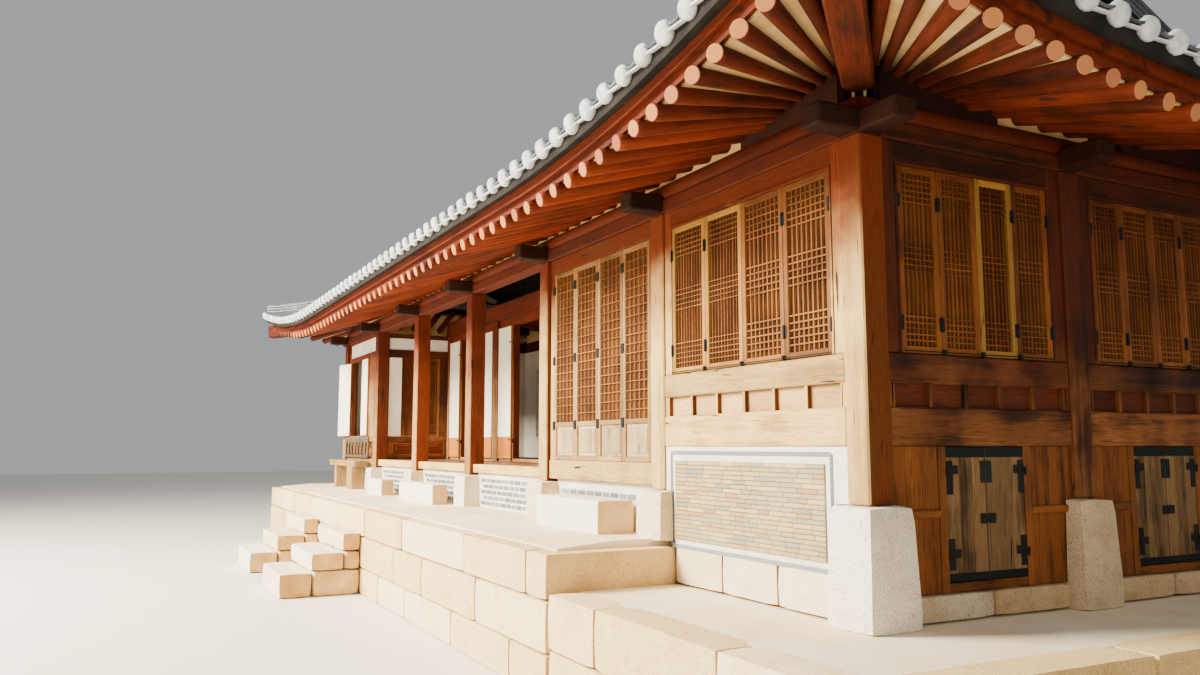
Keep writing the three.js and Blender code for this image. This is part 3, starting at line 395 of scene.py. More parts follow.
class Finishes(Enum):
    """The house's finishes, each named for its real substance, and for its painted sunlight or shade where it
    carries some.
    """

    # Bare pine bleached by sun and rain below, paler on the faces turned to the front and up and darker on
    # the others, which is partly that bleaching and partly painted sunlight and shade; still orange under the
    # eaves, darkened there partly as painted shade of the eaves
    SUNNY_PINE = Timber("pine_bleached_and_painted_sunlit", 0.85, slot="pine_bleached", sunny=("FFE59A", "CC9444"),
                        low=("8A4618", "4E2408"), high=("943E10", "561F05"), fade=(3.0, 4.0), stain="6E4820",
                        stained=0.5)
    # Oiled pine in shade: red-brown, dirty where hands and rain reach it, and much darker under the eaves,
    # partly as painted shade of the eaves
    SHADED_PINE = Timber("pine_oiled_in_shade", 0.7, low=("B4703A", "643C1E"), high=("64290A", "341404"),
                         fade=(2.0, 2.9), stain="1E0F07", stained=0.8)
    # Porch columns and beams: orange-brown pine, grey-tan low on the faces turned to the front and up, which
    # is partly weathering and partly painted sunlight, and darker above, partly as painted shade of the eaves
    PORCH_PINE = Timber("pine_warm_brown", 0.75, sunny=("DDB078", "98682F"), low=("A0481C", "5E2A0C"),
                        high=("842E08", "481B04"), fade=(2.4, 3.9), stain="34170A", stained=0.5)
    # Rafters and eaves boards: deep red-orange, never wetted
    RAFTER_PINE = Timber("pine_rafter_red", 0.7, low=("983A10", "521C08"), stain="260E05", stained=0.7)
    # Fan rafters and hip rafters: the rafter pine browner and darker, which is painted shade of the deep
    # corners
    FAN_PINE = Timber("pine_rafter_painted_shade", 0.75, low=("803010", "3C1507"), stain="1E0B04", stained=0.8)
    # Foot panels of the paper leaves: fresh orange boards
    ORANGE_PANEL = Timber("pine_orange_panels", 0.65, slot="paper", low=("DC8A34", "B5631C"), stained=0.2)
    # New window leaves: yellow planed pine
    NEW_PINE = Timber("pine_new_planed", 0.65, low=("D2A04C", "A87630"), high=("BE8C3C", "946420"),
                      fade=(2.6, 4.4), stained=0.15)
    # Old window leaves in the sun: orange-tan bars worn grey at their edges
    SUNNY_LEAF = Timber("pine_leaf_in_sun", 0.75, low=("BC8246", "7C4E20"), high=("98541E", "602E0C"),
                        fade=(3.0, 4.5), stain="4E3014", stained=0.6)
    # Folding door leaves: stiles and bars worn to grey-tan
    WORN_LEAF = Timber("pine_leaf_worn", 0.8, slot="pine_bleached", low=("CFAC76", "8C6A3C"),
                       high=("B87A3E", "784618"), fade=(3.2, 4.6), stain="5E4524", stained=0.5)
    # Old window leaves in shade: warm brown
    SHADED_LEAF = Timber("pine_leaf_in_shade", 0.7, low=("A8662C", "61340F"), high=("824010", "462005"),
                         fade=(2.8, 4.4), stain="2A1607", stained=0.5)
    # Boards round the store: orange-brown pine under the windows
    STORE_SURROUND = Timber("pine_store_surround", 0.75, low=("A05C26", "56300F"), stain="1E1008",
                            stained=0.8)
    # Store leaves: grey-brown boards worn by rain
    STORE_BOARDS = Timber("boards_weathered_grey", 0.85, slot="store_boards", low=("AA8458", "5E482E"),
                          stain="2C2014", stained=0.8)
    # Trim boards of the store leaves: dark grey-green old paint
    STORE_TRIM = Timber("boards_dark_painted", 0.8, slot="store_boards", low=("262E2C", "121615"),
                        stain="0C0E0E", stained=0.6)
    # Small panels under the windows: boards out of the rain, pale cream on the faces turned to the front and
    # up and dark brown on the others, which is partly their own orange-tan and partly painted sunlight and
    # shade
    SMALL_PANEL = Timber("pine_small_panels", 0.75, sunny=("F2CF92", "CF9450"), low=("703012", "3C1806"))
    # Foot panels of the folding doors: pine bleached to cream and worn grey
    DOOR_PANEL = Timber("pine_bleached_panels", 0.8, slot="lattice", low=("EBD6A6", "B0905E"), stain="7C6440",
                        stained=0.6)
    # Porch boards: brown pine polished by feet
    PORCH_BOARDS = Timber("boards_brown_polished", 0.45, 0.001, 0.3, slot="pine_bleached",
                          low=("9A6A40", "6F4526"), stained=0.3)
    # Baluster rail: pine weathered grey
    GREY_RAIL = Timber("pine_weathered_grey", 0.85, slot="pine_bleached", low=("7E7058", "4C422F"),
                       stained=0.3)
    # Beam heads: end grain gone nearly black
    HEAD_PINE = Timber("pine_heads_blackened", 0.8, low=("40190A", "1E0C06"), stain="120704", stained=0.6)
    # Boards of the inner floors
    INNER_BOARDS = Timber("boards_inner_floor", 0.6, low=("8A5A2E", "5F3B1C"), along="place")
    # Log ends, sawn and paler than the rafters
    LOG_END = EndGrain("pine_log_end", 0.85, tones=("D29668", "A86E46"))
    # Podium and terrace: warm cream pointed granite, tan on the faces turned from the sun as painted shade
    WARM_GRANITE = Stone("granite_pointed_warm", 0.9, 0.004, 0.6, ground=("FFF3CA", "F0DCAA"),
                         shaded=("F2DAA8", "CAAC7A"), speck="A5905F", patch="DEB878")
    # Plinths: greyer granite, a little darker on the faces turned from the sun as painted shade
    GREY_GRANITE = Stone("granite_pointed_grey", 0.9, 0.006, 0.8, ground=("FFFCF2", "F2E8D6"),
                         shaded=("F4EAD8", "D2C4AC"), speck="97896F", patch="D8C2A2")
    # Steps, sills and stepping stones: granite nearly white on the faces turned to the front and up, and tan
    # on the others as painted shade
    PALE_GRANITE = Stone("granite_pale_painted_shade", 0.88, 0.004, 0.55, ground=("FFFFF4", "FBF2DC"),
                         shaded=("DEBA7E", "B89052"), speck="B5A88F", patch="EED8AE")
    # Side plinths and sills in shade: the granite painted darker tan all over, as painted shade
    DULL_GRANITE = Stone("granite_tan_painted_shade", 0.92, 0.006, 0.8, ground=("E8D8BC", "C6B294"),
                         shaded=("E2D2B6", "BCA688"), speck="7C6A52", patch="A88A64")
    # Trodden lime earth on the podium
    EARTH = Mottled("earth_lime_trodden", 0.95, 0.003, slot="granite", tones=("FBF0D6", "EBDAB4"), grit=24.0,
                    cloud=1.2)
    # Grey bricks set in white plaster
    GREY_BRICK = Mottled("brick_grey_in_plaster", 0.9, slot="brick", tones=("8F959B", "747A82"), grit=70.0,
                         by_piece=("8B9198", "777D86", "999DA0", "6C7179"))
    # Thin grey, beige and reddish bricks
    BRICK = Mottled("brick_thin_mixed", 0.9, 0.003, 0.7, slot="brick", tones=("C2B286", "92866A"), grit=70.0,
                    by_piece=("D6BC80", "9A9E86", "C0A468", "ACA68A", "B2825C", "E0C686", "8C9286", "C8B276"))
    # Lime mortar between them, gone grey
    MORTAR = Mottled("mortar_lime_grey", 0.95, 0.003, slot="brick", tones=("94896F", "6C624C"))
    # Lime plaster, trowelled smooth
    PLASTER = Mottled("plaster_lime_white", 0.9, 0.001, 0.3, slot="plaster", tones=("F3EFE6", "E3DCCB"),
                      grit=30.0)
    # Cream clay plaster between the rafters
    SOFFIT = Mottled("plaster_clay_cream", 0.95, relief=0.4, slot="plaster", tones=("EBCD92", "D0AC70"),
                     grit=26.0)
    # Fired clay roof tiles, dark grey with pale lichen
    TILE = Mottled("tile_fired_clay", slot="tile", tones=("676C72", "43474B"), grit=46.0, cloud=3.0,
                   spots="7E8285")
    # Clay bed under the tiles, dark in their shade
    TILE_BED = Mottled("clay_tile_bed", 0.95, 0.003, slot="tile", tones=("2A2724", "181615"), grit=46.0,
                       cloud=5.0)
    # White lime plugs in the ends of the tiles
    TILE_LIME = Mottled("lime_tile_ends", 0.85, relief=0.4, slot="tile", tones=("E4E8EA", "A8AEB4"),
                        grit=38.0,
                        cloud=9.0)
    # Mulberry paper, white and taut on the doors
    PAPER = Mottled("paper_mulberry_white", 0.95, 0.0005, 0.2, slot="paper", tones=("F4F0E6", "E8E1D2"),
                    grit=90.0)
    # The same behind old lattices, aged to brown
    AGED_PAPER = Mottled("paper_mulberry_aged", 0.95, 0.0005, 0.2, slot="paper", tones=("744820", "4C2C12"),
                         grit=50.0, cloud=3.0)
    # The same in deep shade behind new lattices, dark brown
    DARK_PAPER = Mottled("paper_mulberry_dark", 0.95, 0.0005, 0.2, slot="paper", tones=("54290C", "381A07"),
                         grit=50.0, cloud=3.0)
    # Forged iron hinges and straps, blackened
    IRON = Mottled("iron_forged_black", 0.6, 0.001, slot="iron", tones=("1C1A18", "0E0D0C"), grit=120.0,
                   cloud=14.0)


# Corners of a box, each with one vertex on every face that meets there, so its edges are chamfered
CORNERS = [(sx, sy, sz) for sx in (-1, 1) for sy in (-1, 1) for sz in (-1, 1)]


def chamfer_faces() -> list[Ring]:
    """Lists the faces of a chamfered box, turned outwards.

    Returns:
        Tuples of vertex numbers, where vertex 3 * corner + axis lies on the face across that axis.
    """
    faces: list[Ring] = []
    for axis in range(3):
        first, second = [other for other in range(3) if other != axis]
        for sign in (-1, 1):
            ring = []
            for a, b in ((-1, -1), (1, -1), (1, 1), (-1, 1)):
                signs = [0, 0, 0]
                signs[axis], signs[first], signs[second] = sign, a, b
                ring.append(3 * CORNERS.index(tuple(signs)) + axis)
            faces.append(tuple(ring))
        for a in (-1, 1):
            for b in (-1, 1):
                ring = []
                for end, face in ((-1, first), (1, first), (1, second), (-1, second)):
                    signs = [0, 0, 0]
                    signs[axis], signs[first], signs[second] = end, a, b
                    ring.append(3 * CORNERS.index(tuple(signs)) + face)
                faces.append(tuple(ring))
    faces.extend((3 * corner, 3 * corner + 1, 3 * corner + 2) for corner in range(8))
    spots = [Vector([CORNERS[v // 3][k] * (1.0 if v % 3 == k else 0.8) for k in range(3)]) for v in range(24)]
    turned = []
    for face in faces:
        a, b, c = (spots[v] for v in face[:3])
        middle = sum((spots[v] for v in face), Vector()) / len(face)
        turned.append(face if (b - a).cross(c - b).dot(middle) > 0 else tuple(reversed(face)))
    return turned


CHAMFER_FACES = chamfer_faces()


@dataclass(frozen=True)
class Spot:
    """Where one repeated unit goes, how it is turned and how far it is drawn out."""

    place: Vector
    turn: Point = (0.0, 0.0, 0.0)
    span: Point = (1.0, 1.0, 1.0)


@dataclass(frozen=True)
class Face:
    """A wall plane that looks to one side of the house, with u running along X or Y."""

    side: Side
    start: float
    plane: float

    @property
    def run(self) -> Axis:
        """The house's axis that u runs along."""
        return Axis.X if self.side.long else Axis.Y

    def corners(self, u: Range, out: Range, z: Range) -> tuple[Point, Point]:
        """Turns ranges along, out of and up the wall into two corners of a box.

        Args:
            u: Range along the wall.
            out: Range out of the wall's plane.
            z: Range of heights above the ground.

        Returns:
            The lowest and the highest corner.
        """
        along = sorted(self.start + value for value in u)
        hand = 1 if self.side in (Side.BACK, Side.EAST) else -1
        across = sorted(self.plane + hand * value for value in out)
        if self.run is Axis.X:
            return (along[0], across[0], z[0]), (along[1], across[1], z[1])
        return (across[0], along[0], z[0]), (across[1], along[1], z[1])

    def spot(self, u: float, out: float, z: float, span: Point) -> Spot:
        """A spot on the wall for a unit drawn out by its size along, out of and up the wall."""
        place = Vector(self.corners((u, u), (out, out), (z, z))[0])
        return Spot(place, (0.0, 0.0, 0.0 if self.run is Axis.X else math.pi / 2), span)


@dataclass
class Piece:
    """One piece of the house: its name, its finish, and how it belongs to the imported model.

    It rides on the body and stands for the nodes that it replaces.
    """

    name: str
    finish: Finishes
    seed: int = 1
    body: str = "house"
    replaces: tuple[str, ...] = ()
    slot: str = ""

    def settle(self, mesh: bpy.types.Mesh) -> None:
        """Puts a mesh into the scene as this piece.

        Args:
            mesh: The mesh, in place.
        """
        mesh.materials.clear()
        mesh.materials.append(self.finish.value.material())
        piece = bpy.data.objects.new(self.name, mesh)
        bpy.context.scene.collection.objects.link(piece)
        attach(piece, self.body)
        if self.replaces:
            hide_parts(*self.replaces)
        LOG.info("%s: %d faces on %s", self.name, len(mesh.polygons), self.body)


@dataclass
class Members(Piece):
    """A piece made of chamfered members, shells and blocks, with grain and tone kept for each."""

    verts: list[Point] = field(default_factory=list)
    faces: list[Ring] = field(default_factory=list)
    grain: list[float] = field(default_factory=list)
    tone: list[float] = field(default_factory=list)

    def __post_init__(self) -> None:
        """Starts the fixed sequence of tones."""
        self.chance = random.Random(self.seed)

    def point(self, spot: Vector, grain: list[float] | Vector, tone: float) -> None:
        """Adds one vertex with its grain and tone."""
        self.verts.append(tuple(spot))
        self.grain.extend(grain)
        self.tone.append(tone)

    def box(self, low: Point, high: Point, along: Axis, chamfer: float = 0.006,
            place: Matrix | None = None, jitter: float = 0.0) -> None:
        """Adds one member between two corners.

        Args:
            low: The lowest corner.
            high: The highest corner.
            along: The run of the grain.
            chamfer: The width of the worn edge.
            place: A turn and shift of the member, for one that isn't square to the house.
            jitter: How far each corner may be out of true.
        """
        size = [high[k] - low[k] for k in range(3)]
        middle = [(high[k] + low[k]) / 2 for k in range(3)]
        edge = min(chamfer, min(size) * 0.3)
        tone = self.chance.random()
        base = len(self.verts)
        order = [along.value] + [k for k in range(3) if k != along.value]
        for corner in CORNERS:
            push = [self.chance.uniform(-jitter, jitter) for _ in range(3)]
            for face in range(3):
                local = [corner[k] * (size[k] / 2 - (0.0 if k == face else edge)) + push[k] for k in range(3)]
                spot = Vector([middle[k] + local[k] for k in range(3)])
                self.point(place @ spot if place else spot, [local[k] for k in order], tone)
        self.faces.extend(tuple(base + v for v in face) for face in CHAMFER_FACES)

    def post(self, face: Face, u: Range, out: Range, z: Range, chamfer: float = 0.006) -> None:
        """Adds an upright member on a wall, from its ranges along, out of and up the wall."""
        self.box(*face.corners(u, out, z), Axis.Z, chamfer)

    def rail(self, face: Face, u: Range, out: Range, z: Range, chamfer: float = 0.006) -> None:
        """Adds a member that runs along a wall, from the same ranges."""
        self.box(*face.corners(u, out, z), face.run, chamfer)

    def shell(self, upper: list[list[Vector]], lower: list[list[Vector]]) -> None:
        """Adds a closed shell between two grids of points, the upper over the lower.

        Args:
            upper: Rows of points of the upper skin.
            lower: Rows of points of the lower skin, of the same shape.
        """
        rows, columns = len(upper), len(upper[0])
        base = len(self.verts)
        tone = self.chance.random()
        for spot in [spot for layer in (upper, lower) for row in layer for spot in row]:
            self.point(spot, spot, tone)

        def quad(*places: tuple[int, int, int]) -> None:
            """Adds a face between four vertices, each by its layer, row and column."""
            self.faces.append(tuple(base + (layer * rows + row) * columns + column
                                    for layer, row, column in places))

        for row in range(rows - 1):
            for column in range(columns - 1):
                quad((0, row, column), (0, row, column + 1), (0, row + 1, column + 1), (0, row + 1, column))
                quad((1, row, column), (1, row + 1, column), (1, row + 1, column + 1), (1, row, column + 1))
        last = rows - 1
        for column in range(columns - 1):
            quad((1, 0, column), (1, 0, column + 1), (0, 0, column + 1), (0, 0, column))
            quad((0, last, column), (0, last, column + 1), (1, last, column + 1), (1, last, column))
        last = columns - 1
        for row in range(rows - 1):
            quad((0, row, 0), (0, row + 1, 0), (1, row + 1, 0), (1, row, 0))
            quad((1, row, last), (1, row + 1, last), (0, row + 1, last), (0, row, last))

    def stone(self, low: Point, high: Point, rough: float = 0.008, cell: float = 0.14,
              edge: float = 0.012, taper: float = 0.0) -> None:
        """Adds one hewn block, with an uneven skin and blunt edges, inside its box.

        Args:
            low: The lowest corner.
            high: The highest corner.
            rough: How far the skin swells and sinks.
            cell: The size of its facets.
            edge: How far its edges are worn in.
            taper: How much narrower its top is, as a share.
        """
        low, high = [value + rough * 0.45 for value in low], [value - rough * 0.45 for value in high]
        size = [high[k] - low[k] for k in range(3)]
        counts = [max(2, round(size[k] / cell)) for k in range(3)]
        middle = Vector(((low[0] + high[0]) / 2, (low[1] + high[1]) / 2, 0.0))
        shift = Vector([self.chance.uniform(0, 50) for _ in range(3)])
        tone = self.chance.random()
        numbers: dict[Ring, int] = {}

        def vertex(step: Ring) -> int:
            """Number of the vertex at one step of the block's lattice."""
            if step not in numbers:
                ends = [(step[k] == counts[k]) - (step[k] == 0) for k in range(3)]
                worn = edge * (sum(abs(end) for end in ends) - 1)
                spot = Vector([low[k] + size[k] * step[k] / counts[k] - ends[k] * worn * 0.5
                               for k in range(3)])
                spot += noise.noise_vector(spot * 3.5 + shift) * rough * 0.6
                share = taper * step[2] / counts[2]
                spot.x += (middle.x - spot.x) * share
                spot.y += (middle.y - spot.y) * share
                numbers[step] = len(self.verts)
                self.point(spot, spot, tone)
            return numbers[step]

        for axis in range(3):
            first, second = (axis + 1) % 3, (axis + 2) % 3
            for level in (0, counts[axis]):
                for a in range(counts[first]):
                    for b in range(counts[second]):
                        ring = []
                        for da, db in ((0, 0), (1, 0), (1, 1), (0, 1)):
                            step = [0, 0, 0]
                            step[axis], step[first], step[second] = level, a + da, b + db
                            ring.append(vertex(tuple(step)))
                        self.faces.append(tuple(ring if level else reversed(ring)))

    def make(self) -> None:
        """Makes the mesh, with the faces that look to the front or up marked as the sun's for painted
        sunlight and painted shade, and settles it.
        """
        mesh = bpy.data.meshes.new(self.name)
        mesh.from_pydata(self.verts, [], self.faces)
        mesh.attributes.new("grain", "FLOAT_VECTOR", "POINT").data.foreach_set("vector", self.grain)
        mesh.attributes.new("tone", "FLOAT", "POINT").data.foreach_set("value", self.tone)
        # Faces turned to the front or up get sun 1; finishes with sunny or shaded pairs paint these lighter
        # and the rest darker, as painted sunlight and shade
        sun = [float(min(face.normal.y, -face.normal.z) < -0.6) for face in mesh.polygons]
        mesh.attributes.new("sun", "FLOAT", "FACE").data.foreach_set("value", sun)
        self.settle(mesh)


def laying_tree() -> bpy.types.NodeTree:
    """Builds the Geometry Nodes tree that lays copies of one unit, once.

    Returns:
        The tree, with named inputs for the unit, the spread of its size and turn, and the finish.
    """
    tree = bpy.data.node_groups.get("lay_units")
    if tree:
        return tree
    tree = bpy.data.node_groups.new("lay_units", "GeometryNodeTree")
    for name, kind in (("Spots", "Geometry"), ("Unit", "Object"), ("Size spread", "Float"),
                       ("Turn spread", "Float"),
                       ("Seed", "Int"), ("Finish", "Material")):
        tree.interface.new_socket(name, in_out="INPUT", socket_type=f"NodeSocket{kind}")
    tree.interface.new_socket("Laid", in_out="OUTPUT", socket_type="NodeSocketGeometry")
    add = partial(add_node, tree)
    given = add("NodeGroupInput").node.outputs
    turn, span = (add("GeometryNodeInputNamedAttribute", {"data_type": "FLOAT_VECTOR", "Name": name})
                  for name in ("turn", "span"))
    seed = {"Seed": given["Seed"]}
    lean = add("FunctionNodeRandomValue", {"data_type": "FLOAT_VECTOR", 0: (-1.0, -1.0, -1.0),
                                           1: (1.0, 1.0, 1.0)},
               seed)
    leaning = add("ShaderNodeVectorMath", {"operation": "SCALE"}, {0: lean, "Scale": given["Turn spread"]})
    turned = add("ShaderNodeVectorMath", {"operation": "ADD"}, {0: turn, 1: leaning})
    swell = add("FunctionNodeRandomValue", {"data_type": "FLOAT", 2: -1.0, 3: 1.0}, seed, 1)
    factor = add("ShaderNodeMath", {"operation": "MULTIPLY_ADD", 2: 1.0}, {0: swell, 1: given["Size spread"]})
    scale = add("ShaderNodeVectorMath", {"operation": "SCALE"}, {0: span, "Scale": factor})
    copies = add("GeometryNodeInstanceOnPoints", None, {
        "Points": given["Spots"], "Scale": scale,
        "Instance": add("GeometryNodeObjectInfo", None, {"Object": given["Unit"]}, "Geometry"),
        "Rotation": add("FunctionNodeEulerToRotation", None, {"Euler": turned})})
    tone = add("FunctionNodeRandomValue", {"data_type": "FLOAT", 2: 0.0, 3: 1.0}, seed, 1)
    toned = add("GeometryNodeStoreNamedAttribute", {"data_type": "FLOAT", "domain": "INSTANCE",
                                                    "Name": "tone"},
                {"Geometry": copies, "Value": tone})
    real = add("GeometryNodeRealizeInstances", None, {"Geometry": toned})
    done = add("GeometryNodeSetMaterial", None, {"Geometry": real, "Material": given["Finish"]})
    tree.links.new(done, tree.nodes.new("NodeGroupOutput").inputs[0])
    return tree


@dataclass
class Laying(Piece):
    """A piece made of copies of one unit, whose size and turn may spread a little."""

    size_spread: float = 0.0
    turn_spread: float = 0.0

    def lay(self, unit: bpy.types.Mesh, spots: list[Spot]) -> None:
        """Lays the unit on every spot and makes the result one plain mesh.

        Args:
            unit: The mesh that is repeated.
            spots: Where its copies go.
        """
        points = bpy.data.meshes.new(self.name + "_spots")
        points.from_pydata([tuple(spot.place) for spot in spots], [], [])
        for key in ("turn", "span"):
            values = [value for spot in spots for value in getattr(spot, key)]
            points.attributes.new(key, "FLOAT_VECTOR", "POINT").data.foreach_set("vector", values)
        holder = bpy.data.objects.new(self.name + "_spots", points)
        model = bpy.data.objects.new(self.name + "_unit", unit)
        for helper in (holder, model):
            bpy.context.scene.collection.objects.link(helper)
        modifier = holder.modifiers.new("lay", "NODES")
        modifier.node_group = laying_tree()
        values = {"Unit": model, "Size spread": self.size_spread, "Turn spread": self.turn_spread,
                  "Seed": self.seed, "Finish": self.finish.value.material()}
        for item in modifier.node_group.interface.items_tree:
            if item.in_out == "INPUT" and item.name in values:
                modifier[item.identifier] = values[item.name]
        graph = bpy.context.evaluated_depsgraph_get()
        mesh = bpy.data.meshes.new_from_object(holder.evaluated_get(graph), preserve_all_data_layers=True,
                                               depsgraph=graph)
        holder.modifiers.remove(modifier)
        for helper in (holder, model):
            bpy.data.objects.remove(helper)
        mesh.name = self.name
        self.settle(mesh)


def unit_mesh(name: str, verts: list[Point], faces: list[Ring], grain: Point = (1.0, 1.0, 1.0),
              smooth: bool = False) -> bpy.types.Mesh:
    """Makes the mesh of a repeated unit.

    Args:
        name: The mesh's name.
        verts: Its points.
        faces: Its faces, turned outwards.
        grain: What its own coordinates are multiplied by for its grain.
        smooth: Whether its faces are shaded smooth.

    Returns:
        The mesh.
    """
    mesh = bpy.data.meshes.new(name)
    mesh.from_pydata(verts, [], faces)
    values = [vert[k] * grain[k] for vert in verts for k in range(3)]
    mesh.attributes.new("grain", "FLOAT_VECTOR", "POINT").data.foreach_set("vector", values)
    for polygon in mesh.polygons:
        polygon.use_smooth = smooth
    return mesh


def bar_unit() -> bpy.types.Mesh:
    """A bar one metre long in each direction, from its middle, with chamfered edges."""
    verts = [tuple(CORNERS[v // 3][k] * (0.5 if v % 3 == k else 0.42) for k in range(3)) for v in range(24)]
    return unit_mesh("bar", verts, CHAMFER_FACES)


def round_unit(name: str, sides: int, stations: list[Range], grain: Point = (1.0, 1.0, 1.0),
               smooth: bool = True) -> bpy.types.Mesh:
    """A closed round shape about X.

    Args:
        name: The mesh's name.
        sides: How many sides it has.
        stations: Its places along X, all one way, and its radius at each.
        grain: What its own coordinates are multiplied by for its grain.
        smooth: Whether its faces are shaded smooth.

    Returns:
        The unit mesh.
    """
    verts = [(along, radius * math.cos(2 * math.pi * k / sides), radius * math.sin(2 * math.pi * k / sides))
             for along, radius in stations for k in range(sides)]
    faces: list[Ring] = []
    for ring in range(len(stations) - 1):
        low, high = ring * sides, (ring + 1) * sides
        faces += [(low + k, low + (k + 1) % sides, high + (k + 1) % sides, high + k) for k in range(sides)]
    faces.append(tuple(reversed(range(sides))))
    faces.append(tuple(range(len(verts) - sides, len(verts))))
    if stations[-1][0] < stations[0][0]:
        faces = [tuple(reversed(face)) for face in faces]
    return unit_mesh(name, verts, faces, grain, smooth)


def log_unit(sides: int = 14, length: float = 2.5, radius: float = 0.065,
             inner: float = 1.0) -> bpy.types.Mesh:
    """A log of unit length along X and unit radius, with a slight swell.

    Args:
        sides: How many sides it has.
        length: The real length that its grain is worked out for.
        radius: The real radius that its grain is worked out for.
        inner: The radius of its far end, as a share.

    Returns:
        The unit mesh.
    """
    stations = [(0.0, 0.97), (0.02, 1.0), (0.35, 0.45 + 0.57 * inner), (0.7, 0.2 + 0.79 * inner),
                (1.0, inner)]
    mesh = round_unit("log", sides, stations, (length, radius, radius))
    for end in (-1, -2):
        mesh.polygons[end].use_smooth = False
    return mesh


def turn_to(direction: Vector) -> Point:
    """Euler turn that takes +X to a direction and keeps +Z as upright as it can be.

    Args:
        direction: Where +X goes.

    Returns:
        The turn about X, Y and Z.
    """
    flat = math.hypot(direction.x, direction.y)
    return (0.0, -math.atan2(direction.z, flat), math.atan2(direction.y, direction.x))


def hash_of(name: str) -> int:
    """A seed that depends only on a piece's name."""
    return sum((index + 1) * ord(letter) for index, letter in enumerate(name)) % 9973


@dataclass(frozen=True)
class RoofForm:
    """The curves that the rafters, the tiles and the ridges share, the same as in the part's source."""

    reach: float = 1.4
    radius: float = 0.065
    step: float = 0.3
    tip: float = LEVELS.plinth + 2.58
    slope: float = 0.31
    fan_depth: float = 1.06
    fan_count: int = 8
    eave: float = 1.6
    eave_top: float = LEVELS.plinth + 2.84
    corner_lift: float = 0.52
    lift_run: float = 5.0
    corner_bow: float = 0.12
    thick: float = 0.13
    verge: float = 0.2
    gable: float = 0.3
    ridge_run: float = GRID.back / 2 + 1.6

    def lift(self, distance: float) -> float:
        """Rise of the eaves at a distance from their corner."""
        return self.corner_lift * max(0.0, 1 - distance / self.lift_run) ** 2.2

    def bow(self, distance: float) -> float:
        """Outward curve of the eaves at a distance from their corner."""
        return self.corner_bow * max(0.0, 1 - distance / self.lift_run) ** 2

    def length(self, side: Side) -> float:
        """Length of a side between its outer column axes."""
        return -GRID.west if side.long else GRID.back

    def world(self, side: Side, a: float, b: float, z: float) -> Vector:
        """Turns a place along and behind a side into the house's frame."""
        return Vector({Side.FRONT: (GRID.west + a, b, z), Side.BACK: (-a, GRID.back - b, z),
                       Side.EAST: (-b, a, z), Side.WEST: (GRID.west + b, GRID.back - a, z)}[side])

    def rulings(self, side: Side) -> list[tuple[Vector, Vector]]:
        """Axes of the rafters of one side, from their tips inwards.

        Args:
            side: The side of the house.

        Returns:
            Pairs of points in the house's frame.
        """
        length, depth = self.length(side), self.fan_depth
        inner_height = self.tip + self.slope * (self.reach + depth)
        fan = (self.reach + depth) / (self.fan_count + 0.9)
        straight = length - 2 * depth
        count = round(straight / self.step)
        stations = [(depth - fan * k, depth) for k in range(self.fan_count, 0, -1)]
        stations += [(depth + straight * k / count,) * 2 for k in range(count + 1)]
        stations += [(length - depth + fan * k, length - depth) for k in range(1, self.fan_count + 1)]
        lines = []
        for tip, inner in stations:
            corner = min(tip, length - tip) + self.eave
            lines.append((self.world(side, tip, -(self.reach + self.bow(corner)),
                                     self.tip + self.lift(corner)),
                          self.world(side, inner, depth, inner_height)))
        return lines

    def height(self, inward: float, corner: float) -> float:
        """Top of the roof's slab at a distance from the eaves and from the corner."""
        decay = max(0.0, 1 - inward / 3.2) ** 1.5
        return self.eave_top + 0.4 * inward + 0.0125 * inward ** 2 + self.lift(corner) * decay

    def on_roof(self, side: Side, a: float, inward: float, up: float = 0.0) -> Vector:
        """A place on the slab's top, from its place along a side and its distance from the eaves."""
        corner = max(0.0, min(a + self.eave, self.length(side) + self.eave - a))
        out = self.bow(corner) * max(0.0, 1 - inward / self.eave)
        return self.world(side, a, -self.eave + inward - out, self.height(inward, corner) + up)


ROOF = RoofForm()


@dataclass
class Camera:
    """The photograph's camera, as fitted to the column grid."""

    place: Point = (5.109, -4.726, 2.113)
    forward: Point = (-0.8843, 0.4531, 0.1132)
    lens: float = 28.67
    sensor: float = 36.0

    def build(self) -> None:
        """Makes the camera and sets it as the scene's own."""
        data = bpy.data.cameras.new("camera")
        data.lens = self.lens
        data.sensor_width = self.sensor
        data.sensor_fit = "HORIZONTAL"
        data.clip_end = 200.0
        camera = bpy.data.objects.new("camera", data)
        camera.location = self.place
        camera.rotation_euler = Vector(self.forward).to_track_quat("-Z", "Y").to_euler()
        bpy.context.scene.collection.objects.link(camera)
        bpy.context.scene.camera = camera


@dataclass
class Lamp:
    """One large soft lamp: where it stands and points, the side of its face, its watts and its hex colour."""

    name: str
    place: Point
    target: Point
    size: float
    power: float
    colour: str

    def build(self) -> None:
        """Makes the lamp."""
        data = bpy.data.lights.new(self.name, "AREA")
        data.size = self.size
        data.energy = self.power
        data.color = linear(self.colour)[:3]
        lamp = bpy.data.objects.new(self.name, data)
        lamp.location = self.place
        lamp.rotation_euler = (Vector(self.target) - Vector(self.place)).to_track_quat("-Z", "Y").to_euler()
        bpy.context.scene.collection.objects.link(lamp)


